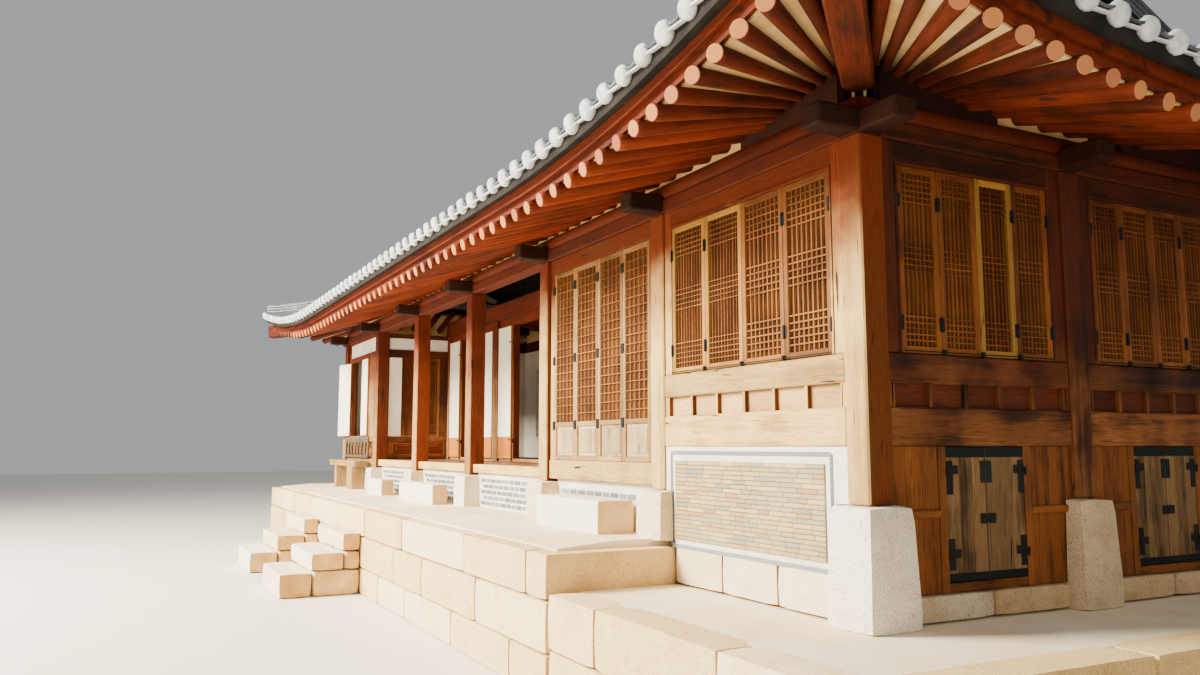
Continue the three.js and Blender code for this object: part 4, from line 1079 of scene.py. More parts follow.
@dataclass
class Studio:
    """A pale floor and soft light, brightest from the front."""

    floor_size: float = 160.0
    sky: float = 0.46
    lamps: tuple[Lamp, ...] = (
        Lamp("key", (-12.0, -19.0, 13.0), (-6.0, 0.0, 2.2), 9.0, 30000.0, "FFF2DE"),
        Lamp("fill", (11.0, -7.0, 5.0), (0.0, 1.0, 2.8), 6.0, 440.0, "FFF6EA"),
    )

    def build(self) -> None:
        """Makes the floor, the sky and the lamps."""
        half = self.floor_size / 2
        mesh = bpy.data.meshes.new("studio_floor")
        mesh.from_pydata([(x * half, y * half, -0.002) for x, y in ((-1, -1), (1, -1), (1, 1), (-1, 1))], [],
                         [(0, 1, 2, 3)])
        floor = bpy.data.objects.new("studio_floor", mesh)
        material = bpy.data.materials.new("paper_backdrop_pale")
        material.use_nodes = True
        shader = material.node_tree.nodes["Principled BSDF"]
        shader.inputs["Base Color"].default_value = linear("E9E4DB")
        shader.inputs["Roughness"].default_value = 0.95
        mesh.materials.append(material)
        bpy.context.scene.collection.objects.link(floor)
        world = bpy.data.worlds.new("studio_sky")
        world.use_nodes = True
        background = world.node_tree.nodes["Background"]
        background.inputs["Color"].default_value = linear("F2F4F7")
        background.inputs["Strength"].default_value = self.sky
        bpy.context.scene.world = world
        for lamp in self.lamps:
            lamp.build()


@dataclass
class Eaves:
    """Rafters, soffit and eaves boards of one side."""

    side: Side

    def __post_init__(self) -> None:
        """Works out the rafters' axes."""
        self.lines = ROOF.rulings(self.side)

    def build(self) -> None:
        """Makes the side's eaves, with a pale sawn disc on the end of every rafter."""
        name, fan, radius = self.side.value, ROOF.fan_count, ROOF.radius
        spots = [Spot(tip, turn_to(inner - tip), ((inner - tip).length * 0.97, radius, radius))
                 for tip, inner in self.lines]
        Laying(f"{name}_round_rafters", Finishes.RAFTER_PINE, 3, replaces=(f"{name}_rafters",),
               size_spread=0.04).lay(log_unit(), spots[fan:-fan])
        # The fan rafters at the corners take the darker pine: painted shade
        Laying(f"{name}_fan_rafters", Finishes.FAN_PINE, 4, size_spread=0.04).lay(
            log_unit(inner=0.45), spots[:fan] + spots[-fan:])
        disc = round_unit("log_end", 14, [(0.0, 0.94), (-0.004, 0.9)], (1.0, radius, radius), smooth=False)
        Laying(f"{name}_rafter_ends", Finishes.LOG_END, 5).lay(
            disc, [Spot(spot.place, spot.turn, (1.0, radius, radius)) for spot in spots])
        self.sheets("soffit", Finishes.SOFFIT, 7, ((0.03, 0.5, 0.9), radius - 0.028, radius + 0.015))
        self.sheets("eaves_board", Finishes.RAFTER_PINE, 9, ((0.012, 0.06), 0.055, 0.135),
                    ((-0.012, 0.05), 0.135, 0.225))
        self.filler()

    def row(self, share: float, up: float) -> list[Vector]:
        """Points over the rafters at one share of their length."""
        return [tip.lerp(inner, share) + Vector((0, 0, up)) for tip, inner in self.lines]

    def sheets(self, name: str, finish: Finishes, seed: int,
               *layers: tuple[tuple[float, ...], float, float]) -> None:
        """Makes a piece that lies along the rafters.

        Args:
            name: The piece's name after its side.
            finish: Its finish.
            seed: Its seed.
            layers: Shares of the rafters' length, and the foot and top over their axes, of each layer.
        """
        work = Members(f"{self.side.value}_{name}", finish, seed)
        for shares, foot, top in layers:
            work.shell([self.row(share, top) for share in shares],
                       [self.row(share, foot) for share in shares])
        work.make()

    def filler(self) -> None:
        """Closes the gaps over the purlin: wedge timbers under the fans, and plaster between them."""
        origin = ROOF.world(self.side, 0.0, 0.0, 0.0)
        inward = ROOF.world(self.side, 0.0, 1.0, 0.0) - origin
        fan = ROOF.fan_count + 2
        wedges = Members(f"{self.side.value}_fan_wedges", Finishes.HEAD_PINE, 8)
        plaster = Members(f"{self.side.value}_beam_filler", Finishes.SOFFIT, 8)
        for work, some, offsets, up in ((wedges, self.lines[:fan], (-0.07, 0.07), -0.03),
                                        (wedges, self.lines[-fan:], (-0.07, 0.07), -0.03),
                                        (plaster, self.lines, (0.0, 0.1), ROOF.radius - 0.02)):
            upper: list[list[Vector]] = [[], []]
            lower: list[list[Vector]] = [[], []]
            for tip, inner in some:
                out = -(tip - origin).dot(inward)
                spot = tip.lerp(inner, out / (out + ROOF.fan_depth))
                for row, offset in enumerate(offsets):
                    place = spot + inward * offset
                    upper[row].append(Vector((place.x, place.y, spot.z + up)))
                    lower[row].append(Vector((place.x, place.y, LEVELS.beam_top - 0.05)))
            work.shell(upper, lower)
        wedges.make()
        plaster.make()


@dataclass
class Hips:
    """The four hip rafters."""

    wide: float = 0.24
    deep: float = 0.27
    sunk: float = 0.015

    def build(self) -> None:
        """Makes them as one piece."""
        # The hips take the darker pine of the fans: painted shade
        work = Members("hip_rafters", Finishes.FAN_PINE, 11)
        reach = ROOF.reach + ROOF.corner_bow
        top = ROOF.tip + ROOF.lift(ROOF.eave - reach) + ROOF.radius - self.sunk
        inner_top = ROOF.tip + ROOF.slope * (ROOF.reach + ROOF.fan_depth) + ROOF.radius - self.sunk
        for x, out_x in ((0.0, 1.0), (GRID.west, -1.0)):
            for y, out_y in ((0.0, -1.0), (GRID.back, 1.0)):
                tip = Vector((x + out_x * reach, y + out_y * reach, top))
                run = Vector((x - out_x * ROOF.fan_depth, y - out_y * ROOF.fan_depth, inner_top)) - tip
                place = Matrix.Translation(tip) @ Euler(turn_to(run)).to_matrix().to_4x4()
                work.box((0.0, -self.wide / 2, -self.deep), (run.length * 0.97, self.wide / 2, 0.0), Axis.X,
                         0.02, place)
        work.make()


def cover_unit(length: float = 0.3, radius: float = 0.075, arc: int = 6) -> bpy.types.Mesh:
    """A half-round tile along X from its lower end, a little narrower at its upper end.

    Args:
        length: The length of a tile that shows.
        radius: Its radius at the lower end.
        arc: How many sides its arc has.

    Returns:
        The unit mesh.
    """
    turns = [math.pi * k / arc for k in range(arc + 1)]
    verts = [(along * length, swell * radius * math.cos(turn), swell * radius * math.sin(turn))
             for along, swell in ((0.0, 1.0), (1.08, 0.88)) for turn in turns]
    ring = arc + 1
    faces = [(k, k + 1, ring + k + 1, ring + k) for k in range(arc)]
    faces += [(0, ring, ring + arc, arc), tuple(reversed(range(ring))), tuple(range(ring, 2 * ring))]
    return unit_mesh("cover_tile", verts, faces)


def pan_unit(half: float = 0.125, sag: float = 0.035, thick: float = 0.018, arc: int = 4) -> bpy.types.Mesh:
    """A shallow trough tile along X from its lower end.

    Args:
        half: Half its width.
        sag: How deep its trough is.
        thick: Its thickness.
        arc: How many sides its trough has.

    Returns:
        The unit mesh.
    """
    across = [-1 + 2 * k / arc for k in range(arc + 1)]
    verts = [(along, share * half, rise + low + sag * share * share - sag * 0.2)
             for along, rise in ((0.0, 0.022), (0.2, 0.0)) for low in (0.0, -thick) for share in across]
    ring = arc + 1
    faces: list[Ring] = []
    for k in range(arc):
        faces.append((k, 2 * ring + k, 2 * ring + k + 1, k + 1))
        faces.append((ring + k, ring + k + 1, 3 * ring + k + 1, 3 * ring + k))
    faces.append(tuple(range(ring)) + tuple(reversed(range(ring, 2 * ring))))
    faces.append(tuple(reversed(range(2 * ring, 3 * ring))) + tuple(range(3 * ring, 4 * ring)))
    faces += [(0, ring, 3 * ring, 2 * ring), (arc, 2 * ring + arc, 3 * ring + arc, ring + arc)]
    return unit_mesh("pan_tile", verts, faces)


@dataclass
class Tiling:
    """Rows of clay tiles on one slope, with white plugs along the eaves."""

    side: Side
    row_step: float = 0.3
    cover_step: float = 0.279
    pan_step: float = 0.15

    def rows(self) -> list[Range]:
        """Places of the cover rows along the side, and how far each runs up.

        Returns:
            Pairs of the place along the side and the run from the eaves.
        """
        length = ROOF.length(self.side)
        wide = length + 2 * ROOF.eave - 0.3
        count = round(wide / self.row_step)
        rows = []
        for k in range(count + 1):
            a = -ROOF.eave + 0.15 + wide * k / count
            corner = min(a + ROOF.eave, length + ROOF.eave - a)
            if self.side.long:
                run = corner if corner < ROOF.eave - ROOF.verge else ROOF.ridge_run
            else:
                run = min(corner, ROOF.eave + ROOF.gable)
            rows.append((a, run))
        return rows

    def bed(self) -> None:
        """Makes the bed of earth that the tiles lie on, a little back from their edge."""
        length, long = ROOF.length(self.side), self.side.long
        verge = ROOF.eave - ROOF.verge
        rows = (0.07, 0.5, verge, 2.4, ROOF.ridge_run) if long else (0.07, 0.6, 1.2, ROOF.eave + ROOF.gable)
        upper, lower = [], []
        for inward in rows:
            edge = (min(inward, verge) if long else inward) - ROOF.eave
            line = [edge + (length - 2 * edge) * k / 48 for k in range(49)]
            upper.append([ROOF.on_roof(self.side, a, inward) for a in line])
            lower.append([ROOF.on_roof(self.side, a, inward, -ROOF.thick + 0.02) for a in line])
        name = self.side.value
        bed = Members(f"{name}_tile_bed", Finishes.TILE_BED, 20, replaces=(f"{name}_roof",))
        bed.shell(upper, lower)
        bed.make()

    def spot(self, a: float, inward: float, up: float, span: Point = (1.0, 1.0, 1.0)) -> Spot:
        """The spot of one tile that points up the slope."""
        here = ROOF.on_roof(self.side, a, inward, up)
        return Spot(here, turn_to(ROOF.on_roof(self.side, a, inward + 0.2, up) - here), span)

    def course(self, a: float, end: float, step: float, up: float) -> list[Spot]:
        """Spots of the tiles in one row, from the eaves up.

        Args:
            a: The row's place along the side.
            end: How far in from the eaves the last tile may start.
            step: How much of each tile shows.
            up: Their height over the slab.

        Returns:
            The spots.
        """
        spots = []
        inward = 0.02
        while inward < end:
            spots.append(self.spot(a, inward, up))
            inward += step
        return spots

    def build(self) -> None:
        """Lays the tiles of the slope."""
        self.bed()
        covers, pans, plugs, fillets = [], [], [], []
        rows = self.rows()
        for a, run in rows:
            plugs.append(self.spot(a, 0.037, 0.03, (1.6, 0.1, 0.086)))
            covers += self.course(a, run - 0.1, self.cover_step, 0.025)
        for (a, run), (other, other_run) in zip(rows, rows[1:]):
            middle = (a + other) / 2
            fillets.append(self.spot(middle, 0.045, -0.004, (0.05, 0.2, 0.016)))
            pans += self.course(middle, min(run, other_run) - 0.06, self.pan_step, 0.02)
        plug = round_unit("lime_plug", 12, [(0.01, 1.0), (-0.012, 0.86), (-0.022, 0.5)])
        for name, finish, unit, spots, seed, size, turn in (
                ("cover_tiles", Finishes.TILE, cover_unit(), covers, 21, 0.03, 0.012),
                ("pan_tiles", Finishes.TILE, pan_unit(), pans, 22, 0.0, 0.01),
                ("eaves_plugs", Finishes.TILE_LIME, plug, plugs, 23, 0.05, 0.0),
                ("eaves_lime", Finishes.TILE_LIME, bar_unit(), fillets, 24, 0.0, 0.0)):
            Laying(f"{self.side.value}_{name}", finish, seed, size_spread=size, turn_spread=turn).lay(unit,
                                                                                                      spots)


@dataclass
class Ridges:
    """The main ridge and the four down the verges and hips: layers of tile in lime under a row of covers."""

    wide: float = 0.22
    tall: float = 0.34
    corner_tall: float = 0.3
    rise: float = 0.24
    layers: int = 5
    crest: float = 0.065
    foot: float = -0.06

    def __post_init__(self) -> None:
        """Starts the two pieces and the list of the crest tiles' places."""
        self.tiles = Members("ridge_tile_layers", Finishes.TILE, 27, replaces=("roof_ridges",))
        self.lime = Members("ridge_lime", Finishes.TILE_LIME, 28)
        self.spots: list[Spot] = []

    def corner_path(self, west: bool, back: bool) -> list[Vector]:
        """Lists the foot of the ridge that runs up one hip and the verge over it.

        Args:
            west: Whether it is at the west end.
            back: Whether it is at the back.

        Returns:
            Points from the eaves to the main ridge.
        """
        straight = ROOF.eave - ROOF.verge + self.wide / 2
        stations = [(inward, inward, inward) for inward in (0.05, 0.25, 0.6, 1.0, 1.3)]
        stations += [(straight, inward, ROOF.lift_run) for inward in (1.7, 2.4, 3.1, ROOF.ridge_run)]
        return [Vector((GRID.west - ROOF.eave + dx if west else ROOF.eave - dx,
                        GRID.back + ROOF.eave - dy if back else dy - ROOF.eave, ROOF.height(dy, corner)))
                for dx, dy, corner in stations]

    def band(self, work: Members, path: list[Vector], half: float, low: list[float],
             high: list[float]) -> None:
        """Adds one layer along a path.

        Args:
            work: The piece that it belongs to.
            path: The ridge's foot.
            half: Half the layer's width.
            low: Its foot over each point of the path.
            high: Its top over each point.
        """
        upper: list[list[Vector]] = [[], []]
        lower: list[list[Vector]] = [[], []]
        for index, spot in enumerate(path):
            run = path[min(index + 1, len(path) - 1)] - path[max(index - 1, 0)]
            across = Vector((run.y, -run.x, 0.0)).normalized() * half
            for row, place in enumerate((spot + across, spot - across)):
                upper[row].append(place + Vector((0.0, 0.0, high[index])))
                lower[row].append(place + Vector((0.0, 0.0, low[index])))
        work.shell(upper, lower)

    def ridge(self, path: list[Vector], tall: list[float]) -> None:
        """Adds one ridge: its bed, its tile layers and the places of its crest tiles.

        Args:
            path: The ridge's foot.
            tall: Its height over each point.
        """
        tops = [height - self.crest for height in tall]
        self.band(self.lime, path, self.wide / 2 - 0.014, [self.foot] * len(path), tops)
        for layer in range(self.layers):
            low, high = ([self.foot + (top - self.foot) * share + 0.008 for top in tops]
                         for share in (layer / self.layers, layer / self.layers + 0.72 / self.layers))
            self.band(self.tiles, path, self.wide / 2 - 0.012 * (layer == 0), low, high)
        crest = [spot + Vector((0, 0, top)) for spot, top in zip(path, tops)]
        for start, end in zip(crest, crest[1:]):
            count = max(1, round((end - start).length / 0.28))
            self.spots += [Spot(start.lerp(end, k / count), turn_to(end - start), (1.0, 0.8, 0.8))
                           for k in range(count)]

    def build(self) -> None:
        """Makes the five ridges."""
        low, high = GRID.west - ROOF.verge - 0.04, ROOF.verge + 0.04
        top = ROOF.height(ROOF.ridge_run, ROOF.lift_run)
        shares = [k / 24 for k in range(25)]
        self.ridge([Vector((low + (high - low) * share, GRID.back / 2, top)) for share in shares],
                   [self.tall + self.rise * abs(2 * share - 1) ** 3 for share in shares])
        for west in (False, True):
            for back in (False, True):
                path = self.corner_path(west, back)
                self.ridge(path, [self.corner_tall] * len(path))
        self.tiles.make()
        self.lime.make()
        Laying("ridge_crest_tiles", Finishes.TILE, 29).lay(cover_unit(), self.spots)


@dataclass
class Gable:
    """A plastered gable wall, with posts, purlin ends and curved bargeboards in front."""

    name: str
    hand: int
    edge: float
    foot: float = ROOF.height(ROOF.eave + ROOF.gable, ROOF.lift_run) - 0.1
    board_foot: float = ROOF.height(ROOF.eave - ROOF.verge + 0.06, ROOF.lift_run) - 0.08

    def underside(self, y: float) -> float:
        """Underside of the long slopes over one place of the gable."""
        return ROOF.height(min(y, GRID.back - y) + ROOF.eave, ROOF.lift_run) - ROOF.thick - 0.004

    def slab(self, work: Members, x: Range, stations: list[float], feet: list[float]) -> None:
        """Adds a board or wall under the slopes.

        Args:
            work: The piece that it belongs to.
            x: Its two faces.
            stations: Places along the gable.
            feet: Its foot at each of them.
        """
        tops = [max(self.underside(y), foot + 0.002) for y, foot in zip(stations, feet)]
        upper, lower = ([[Vector((side, y, z)) for y, z in zip(stations, heights)]
                         for side in sorted(x, reverse=True)] for heights in (tops, feet))
        work.shell(upper, lower)

    def bar(self, work: Members, x: Range, y: Range, z: Range, along: Axis, chamfer: float) -> None:
        """Adds one member whose two ends along X may come in either order."""
        low, high = sorted(x)
        work.box((low, y[0], z[0]), (high, y[1], z[1]), along, chamfer)

    def build(self) -> None:
        """Makes the gable."""
        middle, foot = GRID.back / 2, self.foot
        wall_x = self.edge - self.hand * (ROOF.gable + 0.031)
        board_x = self.edge + self.hand * (ROOF.verge - 0.06)
        wall = Members(f"{self.name}_plaster", Finishes.PLASTER, hash_of(self.name), replaces=(self.name,))
        self.slab(wall, (wall_x - 0.03, wall_x + 0.03), [0.385 + (GRID.back - 0.77) * k / 16
                                                         for k in range(17)],
                  [foot] * 17)
        wall.make()
        timber = Members(f"{self.name}_timber", Finishes.RAFTER_PINE, hash_of(self.name) + 1)
        stations = [0.2 + (GRID.back - 0.4) * k / 20 for k in range(21)]
        for reach, start, end in ((0.24, -0.018, 0.012), (0.09, 0.012, 0.024)):
            feet = [max(self.underside(y) - reach, self.board_foot) for y in stations]
            self.slab(timber, (board_x + self.hand * start, board_x + self.hand * end), stations, feet)
        for y in (middle - 0.9, middle, middle + 0.9):
            top = self.underside(y) - 0.06
            self.bar(timber, (wall_x, board_x), (y - 0.07, y + 0.07), (top - 0.16, top), Axis.X, 0.012)
        face = (wall_x + self.hand * 0.03, wall_x + self.hand * 0.045)
        self.bar(timber, face, (1.0, GRID.back - 1.0), (foot + 0.3, foot + 0.42), Axis.Y, 0.004)
        for y in (middle - 0.6, middle, middle + 0.6):
            self.bar(timber, face, (y - 0.05, y + 0.05), (foot + 0.3, self.underside(y) - 0.2), Axis.Z, 0.004)
        timber.make()


@dataclass
class Frame:
    """Columns, beams, round purlins and beam heads."""

    half: float = 0.1
    head_reach: float = 0.46
    foot: float = LEVELS.beam_foot

    def column(self, work: Members, x: float, y: float) -> None:
        """Adds one square column with worn edges."""
        work.box((x - GRID.half, y - GRID.half, LEVELS.plinth), (x + GRID.half, y + GRID.half, self.foot),
                 Axis.Z, 0.012)

    def purlin(self, name: str, start: Range, end: Range) -> None:
        """Makes the round purlin on a beam."""
        from_point = Vector((*start, self.foot + 0.21))
        run = Vector((*end, self.foot + 0.21)) - from_point
        Laying(f"{name}_purlin", Finishes.PORCH_PINE, 33).lay(
            log_unit(18, run.length, 0.105), [Spot(from_point, turn_to(run), (run.length, 0.107, 0.1))])

    def long_side(self, name: str, y: float, outward: float, first: int, node: str) -> None:
        """Makes the frame of the front or the back, with the sunlit columns near the corner on their own.

        Args:
            name: The piece's name.
            y: Where its column axes are.
            outward: The sign of Y that leads out.
            first: The number of its first column.
            node: The CAD node that it stands for.
        """
        work = Members(name, Finishes.PORCH_PINE, 31, replaces=(node,))
        heads = Members(f"{name}_heads", Finishes.HEAD_PINE, 32)
        near = Members(f"{name}_near_columns", Finishes.SUNNY_PINE, 34, slot="pine_red")
        half, foot = self.half, self.foot
        work.box((GRID.west - half, y - half, foot), (half, y + half, foot + 0.14), Axis.X, 0.012)
        low, high = sorted((y, y + outward * self.head_reach))
        for index in range(GRID.front_bays + 1):
            x = GRID.x(index)
            heads.box((x - 0.105, low, foot + 0.015), (x + 0.105, high, foot + 0.18), Axis.Y, 0.016)
            if index >= first:
                self.column(near if index < 3 else work, x, y)
        for end, hand in ((GRID.west, -1), (0.0, 1)):
            low, high = sorted((end, end + hand * self.head_reach))
            heads.box((low, y - 0.1, foot + 0.012), (high, y + 0.1, foot + 0.17), Axis.X, 0.016)
        for piece in (work, near, heads):
            piece.make()
        self.purlin(name, (GRID.west, y), (0.0, y))

    def end(self, name: str, x: float, outward: float) -> None:
        """Makes the frame of a short side.

        Args:
            name: The CAD node that it stands for.
            x: Where its column axes are.
            outward: The sign of X that leads out.
        """
        work = Members(f"{name}_joinery", Finishes.SHADED_PINE, 37, replaces=(name,))
        half, foot, middle = self.half, self.foot, GRID.y(1)
        work.box((x - half, GRID.half, foot), (x + half, GRID.back - GRID.half, foot + 0.14), Axis.Y, 0.012)
        self.column(work, x, middle)
        work.make()
        heads = Members(f"{name}_joinery_heads", Finishes.HEAD_PINE, 38)
        low, high = sorted((x, x + outward * self.head_reach))
        heads.box((low, middle - 0.105, foot + 0.015), (high, middle + 0.105, foot + 0.18), Axis.X, 0.016)
        heads.make()
        self.purlin(f"{name}_joinery", (x, 0.0), (x, GRID.back))

    def build(self) -> None:
        """Makes all the frames."""
        self.long_side("front_posts_and_beams", 0.0, -1.0, 1, "front_frame")
        self.long_side("back_posts_and_beams", GRID.back, 1.0, 0, "back_frame")
        self.end("east_frame", 0.0, 1.0)
        self.end("west_frame", GRID.west, -1.0)
        porch = Members("porch_posts_and_beam", Finishes.PORCH_PINE, 39, replaces=("porch_frame",))
        porch.box((GRID.x(5) - GRID.half, GRID.porch - self.half, self.foot),
                  (GRID.x(2) + GRID.half, GRID.porch + self.half, LEVELS.beam_top), Axis.X, 0.012)
        porch.box((GRID.x(5), GRID.porch - 0.06, LEVELS.plinth + 2.476),
                  (GRID.x(3), GRID.porch + 0.06, self.foot), Axis.X)
        for index in (2, 3, 4, 5):
            self.column(porch, GRID.x(index), GRID.porch)
        porch.make()
        corner = Members("corner_post", Finishes.SUNNY_PINE, 41, replaces=("corner_column",))
        self.column(corner, 0.0, 0.0)
        corner.make()


@dataclass(frozen=True)
class LeafLook:
    """The finish of one lattice leaf and the spacing of its bars."""

    frame: Finishes
    bars: Finishes
    spacing: float = 0.042
    full_grid: bool = False
    backing: Finishes = Finishes.AGED_PAPER
    bar: float = 0.011


@dataclass
class LatticeLeaf:
    """One leaf: stiles and rails, crossing bars, and paper behind them, over a foot panel if it has one."""

    name: str
    face: Face
    u: Range
    z: Range
    look: LeafLook
    replaces: tuple[str, ...] = ()
    foot_panel: float = 0.0
    stile: float = 0.05

    def build(self) -> None:
        """Makes the leaf's frame, panel, bars and paper."""
        face, edge, seed = self.face, self.stile, hash_of(self.name)
        (u0, u1), (z0, z1) = self.u, self.z
        left, right, foot = u0 + edge, u1 - edge, z0 + edge + self.foot_panel
        work = Members(f"{self.name}_frame", self.look.frame, seed, replaces=self.replaces, slot="lattice")
        for start in (u0 + 0.0025, right - 0.0025):
            work.post(face, (start, start + edge), (-0.038, 0.0), (z0, z1), 0.004)
        for start in (z0, z1 - edge, foot - edge)[:3 if self.foot_panel else 2]:
            work.rail(face, (left, right), (-0.038, -0.002), (start, start + edge), 0.004)
        if self.foot_panel:
            panel = Members(f"{self.name}_panel", Finishes.DOOR_PANEL, seed + 1)
            for inset, out in ((0.0, -0.02), (0.035, -0.01)):
                panel.post(face, (left + inset, right - inset), (-0.03, out),
                           (z0 + edge + inset, foot - edge - inset))
            panel.make()
        work.make()
        self.bars((left, right), (foot, z1 - edge))
        paper = Members(f"{self.name}_paper", self.look.backing, 3)
        paper.post(face, (left - 0.01, right + 0.01), (-0.036, -0.032), (foot - 0.01, z1 - edge + 0.01),
                   0.001)
        paper.make()

    def bars(self, u: Range, z: Range) -> None:
        """Lays the crossing bars, as a full grid or with three bands of five across.

        Args:
            u: The lattice's range along the wall.
            z: Its range of heights.
        """
        wide, tall, bar = u[1] - u[0], z[1] - z[0], self.look.bar
        columns = max(3, round(wide / self.look.spacing))
        step = wide / columns
        rows = round(tall / step)
        levels = [z[0] + tall * k / rows for k in range(1, rows)]
        if not self.look.full_grid:
            levels = [z[0] + step * k for k in range(1, 6)]
            levels += [sum(z) / 2 + step * k for k in range(-2, 3)]
            levels += [z[1] - step * k for k in range(1, 6)]
        spots = [self.face.spot(u[0] + step * k, -0.018, sum(z) / 2, (bar, 0.014, tall))
                 for k in range(1, columns)]
        spots += [self.face.spot(sum(u) / 2, -0.014, level, (wide, 0.014, bar)) for level in levels]
        Laying(f"{self.name}_bars", self.look.bars, hash_of(self.name), slot="lattice").lay(bar_unit(), spots)


@dataclass
class WindowBay:
    """A timber bay: a window of four leaves over a band of small panels and a heavy rail."""

    name: str
    face: Face
    width: float
    jamb: float
    panels: int
    rail_foot: float
    finish: Finishes
    leaves: tuple[LeafLook, ...]
    nodes: tuple[str, str]
    sill: float = LEVELS.plinth + 1.065
    head: float = LEVELS.plinth + 2.44
    band: Range = (LEVELS.plinth + 0.68, LEVELS.plinth + 0.855)
    top: float = LEVELS.beam_foot
    margin: float = 0.05

    def build(self) -> None:
        """Makes the bay's joinery, its leaves and their iron."""
        face, seed, whole = self.face, hash_of(self.name), (0.0, self.width)
        left, right = self.jamb - 0.02, self.width - self.jamb + 0.02
        work = Members(f"{self.name}_joinery", self.finish, seed, replaces=(self.nodes[0],))
        for u in ((0.0, left), (right, self.width)):
            work.post(face, u, (-0.12, 0.0), (self.sill, self.top))
        work.rail(face, whole, (-0.12, -0.006), (self.head + 0.02, self.top))
        work.rail(face, whole, (-0.12, 0.012), (self.band[1], self.sill - 0.004), 0.01)
        work.rail(face, whole, (-0.12, 0.014), (self.rail_foot, self.band[0]), 0.012)
        for u in ((left, left + 0.02), (right - 0.02, right)):
            work.post(face, u, (-0.1, 0.008), (self.sill, self.head), 0.003)
        work.rail(face, (left, right), (-0.1, 0.008), (self.head, self.head + 0.024), 0.003)
        step = (self.width - 2 * self.margin) / self.panels
        marks = [self.margin + step * k for k in range(self.panels + 1)]
        for u in marks:
            work.post(face, (u - 0.017, u + 0.017), (-0.1, 0.002), self.band, 0.004)
        panels = Members(f"{self.name}_small_panels", Finishes.SMALL_PANEL, seed + 1)
        for u in marks[:-1]:
            panels.rail(face, (u + 0.015, u + step - 0.015), (-0.09, -0.036), self.band, 0.002)
        panels.make()
        for u in ((0.0, self.margin), (self.width - self.margin, self.width)):
            work.post(face, u, (-0.1, 0.002), self.band, 0.003)
        work.make()
        wide = (self.width - 2 * self.jamb) / len(self.leaves)
        edges = [self.jamb + wide * k for k in range(len(self.leaves) + 1)]
        for index, look in enumerate(self.leaves):
            LatticeLeaf(f"{self.name}_leaf_{index + 1}", face, (edges[index], edges[index + 1]),
                        (self.sill + 0.004, self.head - 0.002), look,
                        self.nodes[1:] if index == 0 else ()).build()
        self.iron(edges)

    def iron(self, edges: list[float]) -> None:
        """Makes the hinges between the leaves and the hook bar along their foot.

        Args:
            edges: The leaves' edges along the wall.
        """
        work = Members(f"{self.name}_iron", Finishes.IRON, 5)
        for u in (edges[0], edges[1], edges[-2], edges[-1]):
            for z in (self.sill + 0.22, self.head - 0.26):
                work.post(self.face, (u - 0.026, u + 0.026), (-0.004, 0.004), (z - 0.05, z + 0.05), 0.002)
                work.post(self.face, (u - 0.008, u + 0.008), (0.0, 0.014), (z - 0.055, z + 0.055), 0.003)
        work.rail(self.face, (edges[0], edges[-1]), (0.012, 0.02), (self.sill + 0.012, self.sill + 0.02),
                  0.002)
        for u in edges[1:-1]:
            work.post(self.face, (u - 0.012, u + 0.012), (0.0, 0.03), (self.sill, self.sill + 0.036), 0.004)
        work.make()


@dataclass
class FoldingDoors:
    """The middle room's front: four folding leaves with wooden foot panels, in a heavy frame."""

    face: Face
    width: float = 2.474
    jamb: float = 0.11
    foot: float = LEVELS.plinth + 0.245
    head: float = LEVELS.plinth + 2.44
    look: LeafLook = LeafLook(Finishes.WORN_LEAF, Finishes.SUNNY_LEAF, 0.09, True, bar=0.009)

    def build(self) -> None:
        """Makes the frame, the leaves and their hinges."""
        face, whole = self.face, (0.0, self.width)
        work = Members("middle_room_joinery", Finishes.SUNNY_PINE, 51, replaces=("middle_room_frame",))
        for u in ((0.0, self.jamb), (self.width - self.jamb, self.width)):
            work.post(face, u, (-0.1, 0.0), (self.foot - 0.01, LEVELS.beam_foot), 0.008)
        work.rail(face, whole, (-0.1, 0.006), (self.head, LEVELS.beam_foot), 0.008)
        work.rail(face, whole, (-0.1, 0.012), (LEVELS.floor - 0.12, self.foot), 0.01)
        work.make()
        wide = (self.width - 2 * self.jamb) / 4
        iron = Members("folding_doors_iron", Finishes.IRON, 53)
        for index in range(4):
            u = self.jamb + wide * index
            LatticeLeaf(f"folding_leaf_{index + 1}", face, (u, u + wide),
                        (self.foot + 0.004, self.head - 0.004),
                        self.look, ("folding_doors",) if index == 0 else (), foot_panel=0.38).build()
            for z in (self.foot + 0.4, self.foot + 1.16, self.head - 0.2):
                iron.post(face, (u - 0.03, u + 0.03), (-0.002, 0.01), (z - 0.05, z + 0.05), 0.003)
        iron.make()


